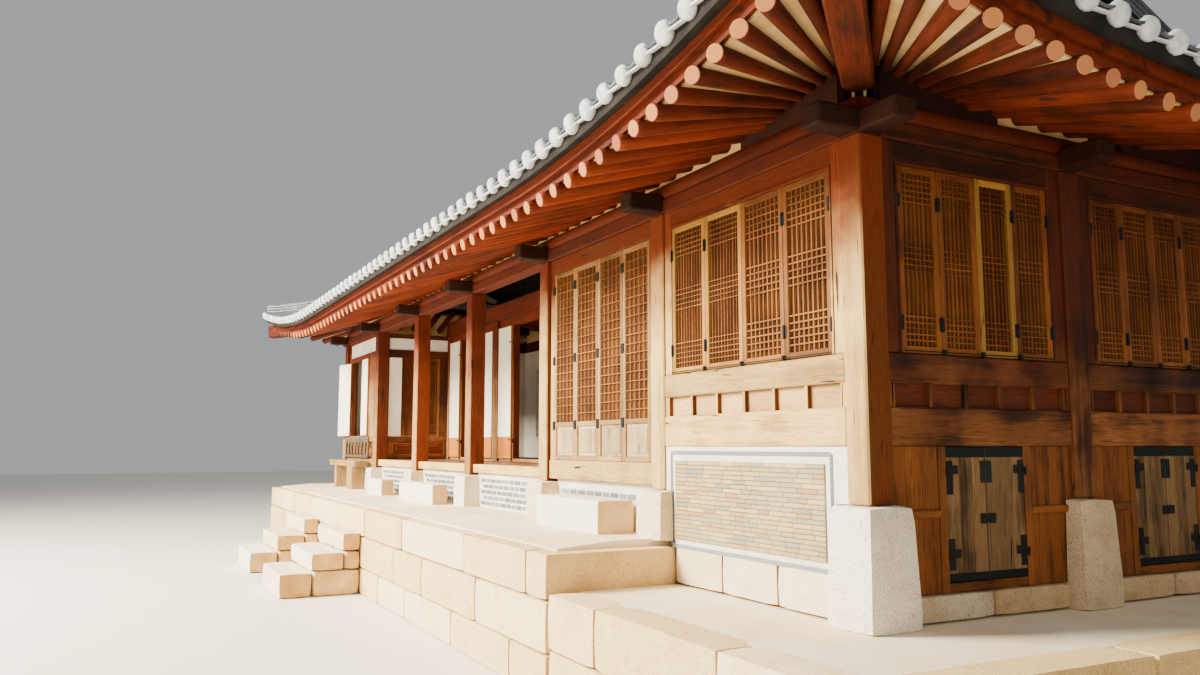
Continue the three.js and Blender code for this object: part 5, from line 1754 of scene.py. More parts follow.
@dataclass
class StoreLeaf:
    """One leaf of a store: boards, dark trim and iron, hung on two pintles at one edge."""

    bay: int
    hand: str
    face: Face
    hung: float
    free: float
    hinge: float
    z: Range
    pin_out: float = 0.012
    hinge_in: float = 0.18

    def build(self) -> None:
        """Makes the leaf and its pintles."""
        face, hung, free, (z0, z1) = self.face, self.hung, self.free, self.z
        tag, body = f"store_{self.bay}_{self.hand}", f"store_leaf_{self.bay}_{self.hand}"
        inward = 1 if free > hung else -1
        seed = hash_of(tag)
        boards = Members(f"{tag}_boards", Finishes.STORE_BOARDS, seed, body,
                         (f"side_bay_{self.bay}_leaf_{self.hand}",))
        start, end = sorted((hung, free))
        for k in range(3):
            boards.post(face, (start + (end - start) * k / 3, start + (end - start) * (k + 1) / 3 - 0.002),
                        (-0.038, -0.008), self.z, 0.003)
        boards.make()
        trim = Members(f"{tag}_trim", Finishes.STORE_TRIM, seed + 1, body)
        for z in ((z1 - 0.075, z1), (z0, z0 + 0.055)):
            trim.rail(face, (start, end), (-0.01, 0.0), z, 0.003)
        for u, z in (((hung, hung + inward * 0.06), (z0 + 0.08, z0 + 0.3)),
                     ((hung, hung + inward * 0.06), (z1 - 0.34, z1 - 0.1)),
                     ((free, free - inward * 0.05), (z1 - 0.26, z1 - 0.1))):
            trim.post(face, u, (-0.01, -0.001), z, 0.003)
        trim.make()
        iron = Members(f"{tag}_iron", Finishes.IRON, seed + 2, body)
        pintles = Members(f"{tag}_pintles", Finishes.IRON, seed + 3)
        hinge, pin = self.hinge, self.pin_out
        for z in (z0 + self.hinge_in, z1 - self.hinge_in):
            iron.rail(face, (hung, hung + inward * 0.11), (-0.002, 0.003), (z - 0.014, z + 0.046), 0.002)
            iron.rail(face, (hinge + inward * 0.004, hinge + inward * 0.03), (-0.001, 0.009),
                      (z + 0.004, z + 0.028), 0.001)
            iron.post(face, (hinge - 0.008, hinge + 0.008), (pin - 0.008, pin + 0.008),
                      (z + 0.0003, z + 0.032), 0.004)
            pintles.post(face, (hinge - 0.005, hinge + 0.005), (pin - 0.005, pin + 0.005), (z - 0.032, z),
                         0.002)
            pintles.post(face, (hinge, hinge - inward * 0.006), (-0.001, pin), (z - 0.032, z), 0.001)
        pintles.make()
        iron.rail(face, (free, free - inward * 0.07), (-0.002, 0.006), (z0 + 0.4, z0 + 0.47), 0.003)
        iron.make()


@dataclass
class StoreFront:
    """Upright boards round the two leaves of a store under an end window."""

    index: int
    face: Face = Face(Side.EAST, 0.0, 0.08)
    door_wide: float = 0.812
    foot: float = LEVELS.plinth - 0.63
    door_foot: float = LEVELS.plinth - 0.555
    head: float = LEVELS.plinth + 0.4047

    def build(self) -> None:
        """Makes the boards, the posts, the bar and the two leaves."""
        face, bay = self.face, self.index + 1
        south, north = GRID.y(self.index) + GRID.half, GRID.y(self.index + 1) - GRID.half
        middle = (south + north) / 2 - (0.01 if self.index == 0 else 0.0)
        left, right = middle - self.door_wide / 2, middle + self.door_wide / 2
        work = Members(f"store_{bay}_boards", Finishes.STORE_SURROUND, 60 + bay,
                       replaces=(f"side_bay_{bay}_store_boards",))
        posts = Members(f"store_{bay}_posts", Finishes.SHADED_LEAF, 64 + bay)
        for start, end in ((south, left - 0.07), (right + 0.07, north)):
            for k in range(3):
                work.post(face, (start + (end - start) * k / 3, start + (end - start) * (k + 1) / 3 - 0.003),
                          (-0.05, -0.012), (self.foot, self.head), 0.003)
            posts.rail(face, (start, end), (-0.05, 0.012), (LEVELS.plinth - 0.1, LEVELS.plinth - 0.045),
                       0.008)
        for start in (left - 0.07, right):
            posts.post(face, (start, start + 0.07), (-0.05, 0.0), (self.foot, self.head), 0.005)
        posts.make()
        work.rail(face, (left, right), (-0.05, -0.004), (self.foot, self.door_foot - 0.008), 0.005)
        work.make()
        z = (self.door_foot, self.head - 0.006)
        StoreLeaf(bay, "south", face, left + 0.006, middle - 0.006, left, z).build()
        StoreLeaf(bay, "north", face, right - 0.006, middle + 0.006, right, z).build()


@dataclass
class BrickPanel:
    """Thin bricks in a white plaster border with a dark inset line."""

    face: Face = Face(Side.FRONT, GRID.x(1) + 0.1128, -0.09)
    u: Range = (0.17, 2.2244)
    z: Range = (LEVELS.plinth - 0.43, LEVELS.plinth + 0.275)
    course: float = 0.038
    length: float = 0.24
    gap: float = 0.07
    line: float = 0.036

    def build(self) -> None:
        """Lays the bricks and makes the mortar and the inset line."""
        chance = random.Random(71)
        spots = []
        face, (u0, u1), (foot, head) = self.face, self.u, self.z
        courses = round((head - foot) / self.course)
        tall = (head - foot) / courses
        for row in range(courses):
            u = u0
            while u < u1 - 0.02:
                end = min(u + self.length * chance.uniform(0.55, 1.2), u1)
                if u1 - end < 0.06:
                    end = u1
                spots.append(face.spot((u + end) / 2, -0.002, foot + tall * (row + 0.5),
                                       (end - u - 0.006, 0.03, tall - 0.006)))
                u = end
        Laying("corner_bricks", Finishes.BRICK, 73, turn_spread=0.004).lay(bar_unit(), spots)
        mortar = Members("corner_brick_mortar", Finishes.MORTAR, 77)
        mortar.rail(face, (u0 - 0.004, u1 + 0.004), (-0.012, 0.006), self.z, 0.002)
        mortar.make()
        line = Members("corner_brick_line", Finishes.GREY_BRICK, 75)
        half = self.line / 2
        wide, tall = (u0 - self.gap, u1 + self.gap), (foot - 0.06, head + self.gap)
        for z in tall:
            line.rail(face, wide, (-0.01, 0.004), (z - half, z + half), 0.002)
        for u in wide:
            line.post(face, (u - half, u + half), (-0.01, 0.0035), tall, 0.002)
        line.make()


@dataclass(frozen=True)
class Course:
    """One course of blocks: its heights and where its joints are along the wall."""

    z: Range
    joints: tuple[float, ...]


@dataclass
class Stonework:
    """Podium and terrace of hewn granite blocks, the steps, the plinths and the sills."""

    reach: float = 1.38
    depth: float = 0.36
    joint: float = 0.008
    east_end: float = -2.44
    west_end: float = -17.7
    terrace_end: float = 1.42
    courses: tuple[Course, ...] = (
        Course((0.0, 0.37), (-2.44, -3.28, -4.95, -6.74, -8.03, -10.1, -12.0, -13.9, -15.5, -17.7)),
        Course((0.37, 0.81), (-2.44, -4.2, -6.05, -7.28, -9.2, -11.0, -12.6, -14.3, -16.0, -17.7)),
        Course((0.81, 1.21), (-2.9, -4.59, -6.95, -8.9, -10.7, -12.9, -14.8, -16.4, -17.7)),
    )
    low_courses: tuple[Course, ...] = (
        Course((0.0, 0.43), (-2.4, -0.9, 0.35, 1.42)),
        Course((0.43, 0.89), (-2.4, -1.55, 0.1, 1.42)),
    )
    side_courses: tuple[Course, ...] = (
        Course((0.0, 0.43), (-1.02, 0.2, 1.9, 3.3, 5.26)),
        Course((0.43, 0.89), (-1.02, 0.9, 2.5, 4.2, 5.26)),
    )
    far_courses: tuple[Course, ...] = (
        Course((0.0, 0.37), (-1.02, 0.4, 1.9, 3.6, 5.26)),
        Course((0.37, 0.81), (-1.02, 1.1, 2.7, 4.3, 5.26)),
        Course((0.81, 1.21), (-1.02, 0.3, 2.2, 3.9, 5.26)),
    )

    def run_of_blocks(self, work: Members, face: Face, course: Course) -> None:
        """Adds one course of blocks along a face.

        Args:
            work: The piece that gets the blocks.
            face: The wall plane that they stand in.
            course: Their heights and joints.
        """
        marks = sorted(course.joints)
        for start, end in zip(marks, marks[1:]):
            out = work.chance.uniform(-0.01, 0.0)
            low, high = face.corners((start + self.joint / 2, end - self.joint / 2), (-self.depth, out),
                                     (course.z[0] + 0.003, course.z[1] - 0.003))
            work.stone(low, high, 0.005)

    def long_courses(self, work: Members, courses: tuple[Course, ...]) -> None:
        """Adds the same courses along the front and the back."""
        for course in courses:
            self.run_of_blocks(work, Face(Side.FRONT, 0.0, -self.reach), course)
            self.run_of_blocks(work, Face(Side.BACK, 0.0, GRID.back + self.reach), course)

    def podium(self) -> None:
        """Makes the podium's courses, its packed earth and its stepping stones."""
        work = Members("podium_blocks", Finishes.WARM_GRANITE, 81, replaces=("podium",))
        self.long_courses(work, self.courses)
        for course in self.far_courses:
            self.run_of_blocks(work, Face(Side.WEST, 0.0, self.west_end), course)
        for y0, y1 in ((-self.reach, -0.07), (0.06, 2.0), (2.02, 4.16), (4.25, self.reach + GRID.back)):
            work.stone((-2.888, y0, 0.815), (self.east_end, y1, 1.21), 0.012)
        work.make()
        earth = Members("podium_earth", Finishes.EARTH, 83)
        inside, edge = -self.reach + 0.2, LEVELS.podium_edge + 0.012
        profile = ((inside, edge), (-0.6, LEVELS.podium), (GRID.back + 0.6, LEVELS.podium),
                   (GRID.back - inside, edge))
        lines = [self.west_end + 0.2 + (self.east_end - self.west_end - 0.4) * k / 20 for k in range(21)]
        earth.shell([[Vector((x, y, z)) for x in lines] for y, z in profile],
                    [[Vector((x, y, 0.03)) for x in lines] for y, _ in profile])
        earth.make()
        stones = Members("stepping_stones", Finishes.PALE_GRANITE, 85)
        for x0, x1, y0, y1, top in ((-4.7, -3.2, -0.5, -0.08, 0.11), (-10.25, -8.45, -0.51, -0.265, 0.14),
                                    (-12.37, -11.4, -0.5, -0.265, 0.16)):
            stones.stone((x0, y0, LEVELS.podium - 0.03), (x1, y1, LEVELS.plinth - top), 0.01)
        stones.make()

    def terrace(self) -> None:
        """Makes the terrace's courses, its paving and the sills on it."""
        work = Members("terrace_blocks", Finishes.WARM_GRANITE, 87, replaces=("terrace",))
        self.long_courses(work, self.low_courses)
        for course in self.side_courses:
            self.run_of_blocks(work, Face(Side.EAST, 0.0, self.terrace_end), course)
        work.make()
        earth = Members("terrace_paving", Finishes.EARTH, 89)
        inner = self.reach - 0.3
        earth.box((self.east_end + 0.01, -inner, 0.02),
                  (self.terrace_end - 0.3, GRID.back + inner, LEVELS.terrace - 0.012), Axis.X)
        earth.make()
        sills = Members("sill_stones", Finishes.PALE_GRANITE, 91)
        # The sills on the side in shade take the darker granite: painted shade
        side_sills = Members("side_sill_stones", Finishes.DULL_GRANITE, 97)
        for x0, x1 in ((-2.43, -1.697), (-1.696, -0.947), (-0.946, -0.2)):
            for y0, y1 in ((-0.1, 0.06), (GRID.back - 0.06, GRID.back + 0.1)):
                sills.stone((x0, y0, LEVELS.terrace), (x1, y1, LEVELS.plinth - 0.485), 0.006)
        for index in range(GRID.side_bays):
            for y in (GRID.y(index) + 0.2, GRID.y(index) + 1.06):
                side_sills.stone((-0.06, y, LEVELS.terrace), (0.112, y + 0.85, LEVELS.plinth - 0.632), 0.006)
        sills.make()
        side_sills.make()

    def plinths(self) -> None:
        """Makes the square stones under the columns."""
        work = Members("plinths", Finishes.GREY_GRANITE, 93)
        # The plinths on the terrace along the shaded side take the darker granite: painted shade
        shaded = Members("side_plinths", Finishes.DULL_GRANITE, 95)
        places = [(GRID.x(i), y, LEVELS.podium) for i in range(1, 7) for y in (0.0, GRID.back)]
        places += [(GRID.x(i), GRID.porch, LEVELS.podium) for i in range(2, 6)]
        places += [(0.0, GRID.y(j), LEVELS.terrace) for j in range(3)] + [(GRID.west, GRID.y(1),
                                                                           LEVELS.podium)]
        half = 0.238
        for x, y, foot in places:
            low = foot == LEVELS.terrace
            piece = shaded if low and y > 0 else work
            piece.stone((x - half, y - half, foot - 0.02), (x + half, y + half, LEVELS.plinth), 0.01, 0.1,
                        0.014,
                        0.14 if low else 0.05)
        work.make()
        shaded.make()

    def flight(self, name: str, east: float) -> None:
        """Makes one flight of steps, each of a long front block with others behind it.

        Args:
            name: The CAD node that it stands for.
            east: X of its east end.
        """
        work = Members(f"{name}_blocks", Finishes.PALE_GRANITE, hash_of(name), replaces=(name,))
        wide, shift, face = 1.6, 0.14, -self.reach - 0.006
        rows = (((-2.51, -2.055), (-2.035, face), (0.0, 0.345)),
                ((-2.08, -1.615), (-1.6, face), (0.352, 0.608)),
                ((-1.65, face), None, (0.616, 0.878)))
        for index, (front, behind, z) in enumerate(rows):
            west = east - wide - shift * index
            work.stone((west, front[0], z[0]), (east, front[1], z[1]), 0.01, 0.13, 0.016)
            if behind:
                middle = west + (east - west) * 0.45
                for x0, x1 in ((west + 0.02, middle), (middle + 0.015, east - 0.01)):
                    work.stone((x0, behind[0], z[0]), (x1, behind[1], z[1] + 0.004), 0.01, 0.13, 0.016)
        work.make()

    def build(self) -> None:
        """Makes all the stonework."""
        self.podium()
        self.terrace()
        self.plinths()
        self.flight("east_steps", -9.01)
        self.flight("west_steps", -12.09)


@dataclass
class BaseWall:
    """Plastered wall between the plinths, with rows of grey bricks let into it."""

    inside: float = 0.33
    top: float = 1.739
    out: float = 0.05
    levels: tuple[float, ...] = tuple(1.33 + 0.078 * k for k in range(5))

    def build(self) -> None:
        """Makes the plaster and the bricks of bays two to six, and the bricks of the back and the west."""
        face = Face(Side.FRONT, 0.0, 0.0)
        work = Members("base_plaster", Finishes.PLASTER, 101, replaces=("base_wall",))
        bays = [(GRID.x(bay), GRID.x(bay - 1)) for bay in range(1, GRID.front_bays + 1)]
        for low, high in bays[1:]:
            work.rail(face, (low + 0.2, high - 0.2), (-self.inside, 0.0), (LEVELS.podium - 0.01, self.top),
                      0.002)
        work.box((GRID.x(1) - 0.06, 0.3, LEVELS.podium), (GRID.x(1) + 0.06, GRID.back - 0.34, 2.149), Axis.Y,
                 0.002)
        work.make()
        self.bricks("base_bricks", face, [(bays[1], (1.605,))] + [(bay, self.levels) for bay in bays[2:]])
        self.bricks("back_base_bricks", Face(Side.BACK, 0.0, GRID.back + self.out),
                    [(bay, self.levels) for bay in bays])
        self.bricks("west_base_bricks", Face(Side.WEST, 0.0, GRID.west - self.out),
                    [((GRID.y(index), GRID.y(index + 1)), self.levels) for index in (0, 1)])

    def bricks(self, name: str, face: Face, spans: list[tuple[Range, tuple[float, ...]]]) -> None:
        """Lays the rows of bricks of one side.

        Args:
            name: The piece's name.
            face: The wall's plane.
            spans: The ends of each bay, with the heights of its rows.
        """
        spots = []
        chance = random.Random(103)
        for (low, high), levels in spans:
            for index, z in enumerate(levels):
                u = low + 0.3 + (0.09 if index % 2 else 0.0)
                while u < high - 0.4:
                    long = 0.2 * chance.uniform(0.85, 1.15)
                    spots.append(face.spot(u + long / 2, -0.008, z, (long - 0.03, 0.03, 0.05)))
                    u += long
        Laying(name, Finishes.GREY_BRICK, 105, turn_spread=0.006).lay(bar_unit(), spots)


@dataclass
class PlainWall:
    """A closed side of the house: plaster on a timber frame, with a lattice window in each bay."""

    name: str
    face: Face
    length: float
    middles: tuple[float, ...]
    half: float = 0.52
    foot: float = LEVELS.plinth + 0.62
    top: float = LEVELS.plinth + 2.19
    frame: float = 0.07
    look: LeafLook = LeafLook(Finishes.SHADED_LEAF, Finishes.SHADED_LEAF, 0.05, backing=Finishes.PAPER)

    def build(self) -> None:
        """Makes the rails, the window frames and their leaves."""
        face, foot, top = self.face, self.foot, self.top
        work = Members(f"{self.name}_joinery", Finishes.SHADED_PINE, hash_of(self.name))
        for z in ((1.765, 1.88), (foot - 0.13, foot - 0.02), (top + 0.03, top + 0.14)):
            work.rail(face, (0.0, self.length), (-0.02, 0.014), z)
        for index, middle in enumerate(self.middles):
            left, right = middle - self.half, middle + self.half
            for start in (left - self.frame, right):
                work.post(face, (start, start + self.frame), (-0.02, 0.02), (foot - 0.02, top + 0.03))
            for z in ((foot - 0.06, foot), (top, top + 0.06)):
                work.rail(face, (left - 0.1, right + 0.1), (-0.02, 0.026), z)
            for hand, u in enumerate(((left + 0.002, middle), (middle, right - 0.002))):
                LatticeLeaf(f"{self.name}_leaf_{2 * index + hand + 1}", face, u, (foot + 0.003, top - 0.003),
                            self.look).build()
        work.make()


@dataclass
class PorchLeaf:
    """A leaf of a porch doorway: wooden frame and foot panel, white paper over its lattice, and hinges."""

    bay: int
    hand: str
    u: Range
    pin: float
    z: Range
    face: Face = Face(Side.FRONT, 0.0, GRID.porch - 0.104)
    panel_top: float = LEVELS.plinth + 0.58
    pin_y: float = GRID.porch - 0.072

    def build(self) -> None:
        """Makes the leaf."""
        tag, body = f"porch_bay_{self.bay}_leaf_{self.hand}", f"porch_leaf_{self.bay}_{self.hand}"
        face, (start, end), (z0, z1), top, seed = self.face, self.u, self.z, self.panel_top, hash_of(tag)
        frame = Members(f"{tag}_frame", Finishes.NEW_PINE, seed, body, (tag,), "paper")
        for u in ((start, start + 0.045), (end - 0.045, end)):
            frame.post(face, u, (-0.038, 0.0), self.z, 0.004)
        for z in ((z0, z0 + 0.06), (top - 0.04, top), (z1 - 0.045, z1)):
            frame.rail(face, (start + 0.045, end - 0.045), (-0.038, -0.001), z, 0.004)
        frame.make()
        inner = (start + 0.012, end - 0.012)
        board = Members(f"{tag}_board", Finishes.ORANGE_PANEL, seed + 2, body)
        board.rail(face, inner, (-0.03, 0.0015), (z0 + 0.03, top - 0.012), 0.002)
        board.make()
        paper = Members(f"{tag}_paper", Finishes.PAPER, seed + 1, body)
        paper.post(face, inner, (-0.004, 0.002), (top - 0.01, z1 - 0.012), 0.001)
        paper.make()
        tall, wide = z1 - 0.045 - top, end - start - 0.09
        bars = [face.spot(start + 0.045 + wide * k / 12, -0.028, top + tall / 2, (0.011, 0.018, tall))
                for k in range(1, 12)]
        bars += [face.spot((start + end) / 2, -0.026, top + tall * k / 22, (wide, 0.018, 0.011))
                 for k in range(1, 22) if k % 7 in (0, 1, 2, 3)]
        Laying(f"{tag}_bars", Finishes.PORCH_PINE, seed, body, slot="paper").lay(bar_unit(), bars)
        self.hinges(tag, body)

    def hinges(self, tag: str, body: str) -> None:
        """Makes the iron eyes on the leaf and the pintles on the wall."""
        eyes = Members(f"{tag}_eyes", Finishes.IRON, 3, body)
        pintles = Members(f"{tag}_pintles", Finishes.IRON, 5)
        pin, y, outward = self.pin, self.pin_y, -1 if self.hand == "west" else 1
        for z in (self.z[0] + 0.3, self.z[1] - 0.3):
            eyes.box((pin - 0.008, y - 0.008, z + 0.0003), (pin + 0.008, y + 0.008, z + 0.032), Axis.Z, 0.004)
            for near, far, back, front in ((0.007, 0.1, -0.036, -0.033), (0.0, 0.012, -0.003, 0.003)):
                low, high = sorted((pin + outward * near, pin + outward * far))
                eyes.box((low, y + back, z + 0.004), (high, y + front, z + 0.028), Axis.X, 0.001)
            pintles.box((pin - 0.005, y - 0.005, z - 0.032), (pin + 0.005, y + 0.012, z), Axis.Z, 0.002)
        eyes.make()
        pintles.make()


@dataclass
class Porch:
    """The porch: its boards, its back wall with open paper doors, and its end walls."""

    door: Range = (LEVELS.plinth + 0.2, LEVELS.plinth + 2.47)
    door_wide: float = 1.2
    front: float = -0.055
    wide: float = GRID.porch - 2 * GRID.half

    def floor(self) -> None:
        """Makes the sunlit edge beam and the boards between the joists."""
        edge = Members("porch_edge_beam", Finishes.SUNNY_PINE, 111, replaces=("porch_floor",))
        west, east = GRID.x(5), GRID.x(2)
        for index in (3, 4, 5):
            edge.box((GRID.x(index) + 0.11, self.front, 1.741), (GRID.x(index - 1) - 0.11, 0.1, LEVELS.floor),
                     Axis.X, 0.01)
        edge.make()
        boards = Members("porch_boards", Finishes.PORCH_BOARDS, 113)
        count = round((east - west) / 0.27)
        wide = (east - west) / count
        for k in range(count):
            x, top = west + wide * k, LEVELS.floor - boards.chance.uniform(0.0, 0.003)
            boards.box((x + 0.002, 0.102, top - 0.03), (x + wide - 0.002, GRID.porch - 0.062, top), Axis.Y,
                       0.004)
        for index in (3, 4, 5):
            for share in (0.0, 0.33, 0.67):
                x = GRID.x(index) + GRID.bay * share + 0.12
                boards.box((x, 0.1, 1.75), (x + 0.09, GRID.porch - 0.07, LEVELS.floor - 0.031), Axis.Y, 0.005)
        boards.make()

    def doorway(self, bay: int) -> None:
        """Makes one bay of the back wall round its doorway, and the two open leaves.

        Args:
            bay: The bay's number from the corner.
        """
        tag = f"porch_bay_{bay}"
        face, (foot, head) = Face(Side.FRONT, 0.0, GRID.porch - 0.06), self.door
        west, east = GRID.x(bay) + GRID.half, GRID.x(bay - 1) - GRID.half
        middle = (west + east) / 2
        left, right = middle - self.door_wide / 2, middle + self.door_wide / 2
        frame = Members(f"{tag}_frame", Finishes.PORCH_PINE, hash_of(tag), replaces=(f"{tag}_wall",))
        for u in ((left - 0.1, left), (right, right + 0.1)):
            frame.post(face, u, (-0.12, 0.0), (1.75, head + 0.006))
        frame.rail(face, (west, east), (-0.12, 0.0), (1.741, foot - 0.006), 0.008)
        sides = ((west, left - 0.1), (right + 0.1, east))
        for u in sides:
            for z in ((2.56, 2.64), (head - 0.09, head + 0.005)):
                frame.rail(face, u, (-0.11, -0.004), z)
        frame.make()
        infill = Members(f"{tag}_plaster", Finishes.PLASTER, hash_of(tag) + 1)
        for start, end in sides:
            infill.post(face, (start - 0.01, end + 0.01), (-0.09, -0.03), (foot - 0.01, head), 0.002)
        infill.make()
        wide = self.door_wide / 2 - 0.012
        PorchLeaf(bay, "west", (left - 0.006 - wide, left - 0.006), left, self.door).build()
        PorchLeaf(bay, "east", (right + 0.006, right + 0.006 + wide), right, self.door).build()

    def end_wall(self) -> None:
        """Makes the wall at the porch's west end, with its window and moulded panel."""
        face, wide, level = Face(Side.EAST, GRID.half, GRID.x(5) + 0.06), self.wide, LEVELS.plinth
        window = (level + 0.604, level + 2.148)
        frame = Members("porch_end_frame", Finishes.SHADED_PINE, 121, replaces=("porch_west_wall",))
        for z, out in (((LEVELS.floor, level + 0.23), 0.0), ((level + 0.5, level + 0.6), 0.006),
                       ((level + 2.15, level + 2.3), 0.004), ((level + 2.53, LEVELS.beam_foot), 0.0)):
            frame.rail(face, (0.0, wide), (-0.12, out), z)
        for u in ((0.0, 0.27), (wide - 0.16, wide)):
            frame.post(face, u, (-0.12, 0.0), (level + 0.6, level + 2.15))
        for u in ((0.0, 0.07), (wide / 2 - 0.035, wide / 2 + 0.035), (wide - 0.07, wide)):
            frame.post(face, u, (-0.12, -0.004), (level + 0.23, level + 0.5))
        frame.rail(face, (0.05, wide - 0.05), (-0.1, -0.024), (level + 0.22, level + 0.51), 0.002)
        frame.make()
        plaster = Members("porch_end_plaster", Finishes.PLASTER, 123)
        plaster.rail(face, (0.01, wide - 0.01), (-0.1, -0.02), (level + 2.29, level + 2.54), 0.002)
        plaster.make()
        shutter = Members("porch_end_shutter", Finishes.SHADED_PINE, 125, replaces=("porch_west_window",),
                          slot="lattice")
        for k in range(3):
            u = 0.272 + 0.166 * k
            shutter.post(face, (u, u + 0.163), (-0.036, -0.004), window, 0.003)
        shutter.make()
        look = LeafLook(Finishes.SHADED_LEAF, Finishes.SHADED_LEAF, 0.04)
        LatticeLeaf("porch_end_leaf", face, (0.77, wide - 0.162), window, look).build()
        paper = Members("porch_end_open_leaf", Finishes.PAPER, 127)
        paper.post(face, (0.015, 0.262), (0.002, 0.03), (level + 0.6, level + 2.14), 0.003)
        paper.make()
        moulding = Members("porch_end_moulding", Finishes.PORCH_PINE, 129)
        for start in (0.12, 0.68):
            for inset, out in ((0.0, -0.014), (0.07, -0.006)):
                moulding.rail(face, (start + inset, start + 0.42 - inset), (-0.06, out),
                              (level + 0.27 + inset * 0.6, level + 0.46 - inset * 0.6))
        moulding.make()

    def closed_walls(self) -> None:
        """Makes the closed bay of the back wall and the wall at the porch's east end."""
        level = LEVELS.plinth
        for name, face, wide in (
                ("porch_wall_bay_3", Face(Side.FRONT, GRID.x(3) + GRID.half, GRID.porch - 0.06), 2.475),
                ("porch_east_wall", Face(Side.WEST, GRID.half, GRID.x(2) - 0.06), self.wide)):
            posts = Members(f"{name}_posts", Finishes.PORCH_PINE, hash_of(name))
            for share in (0.0, 0.5, 1.0):
                u = (wide - 0.09) * share
                posts.post(face, (u, u + 0.09), (-0.12, 0.0), (LEVELS.floor, LEVELS.beam_foot))
            for z in ((1.76, level + 0.24), (level + 0.98, level + 1.07), (level + 2.4, level + 2.5)):
                posts.rail(face, (0.0, wide), (-0.118, -0.002), z)
            posts.make()
            infill = Members(f"{name}_plaster", Finishes.PLASTER, hash_of(name) + 1, replaces=(name,))
            infill.post(face, (0.005, wide - 0.005), (-0.1, -0.02), (1.77, LEVELS.beam_foot), 0.002)
            infill.make()

    def build(self) -> None:
        """Makes the whole porch."""
        self.floor()
        self.closed_walls()
        self.doorway(4)
        self.doorway(5)
        self.end_wall()


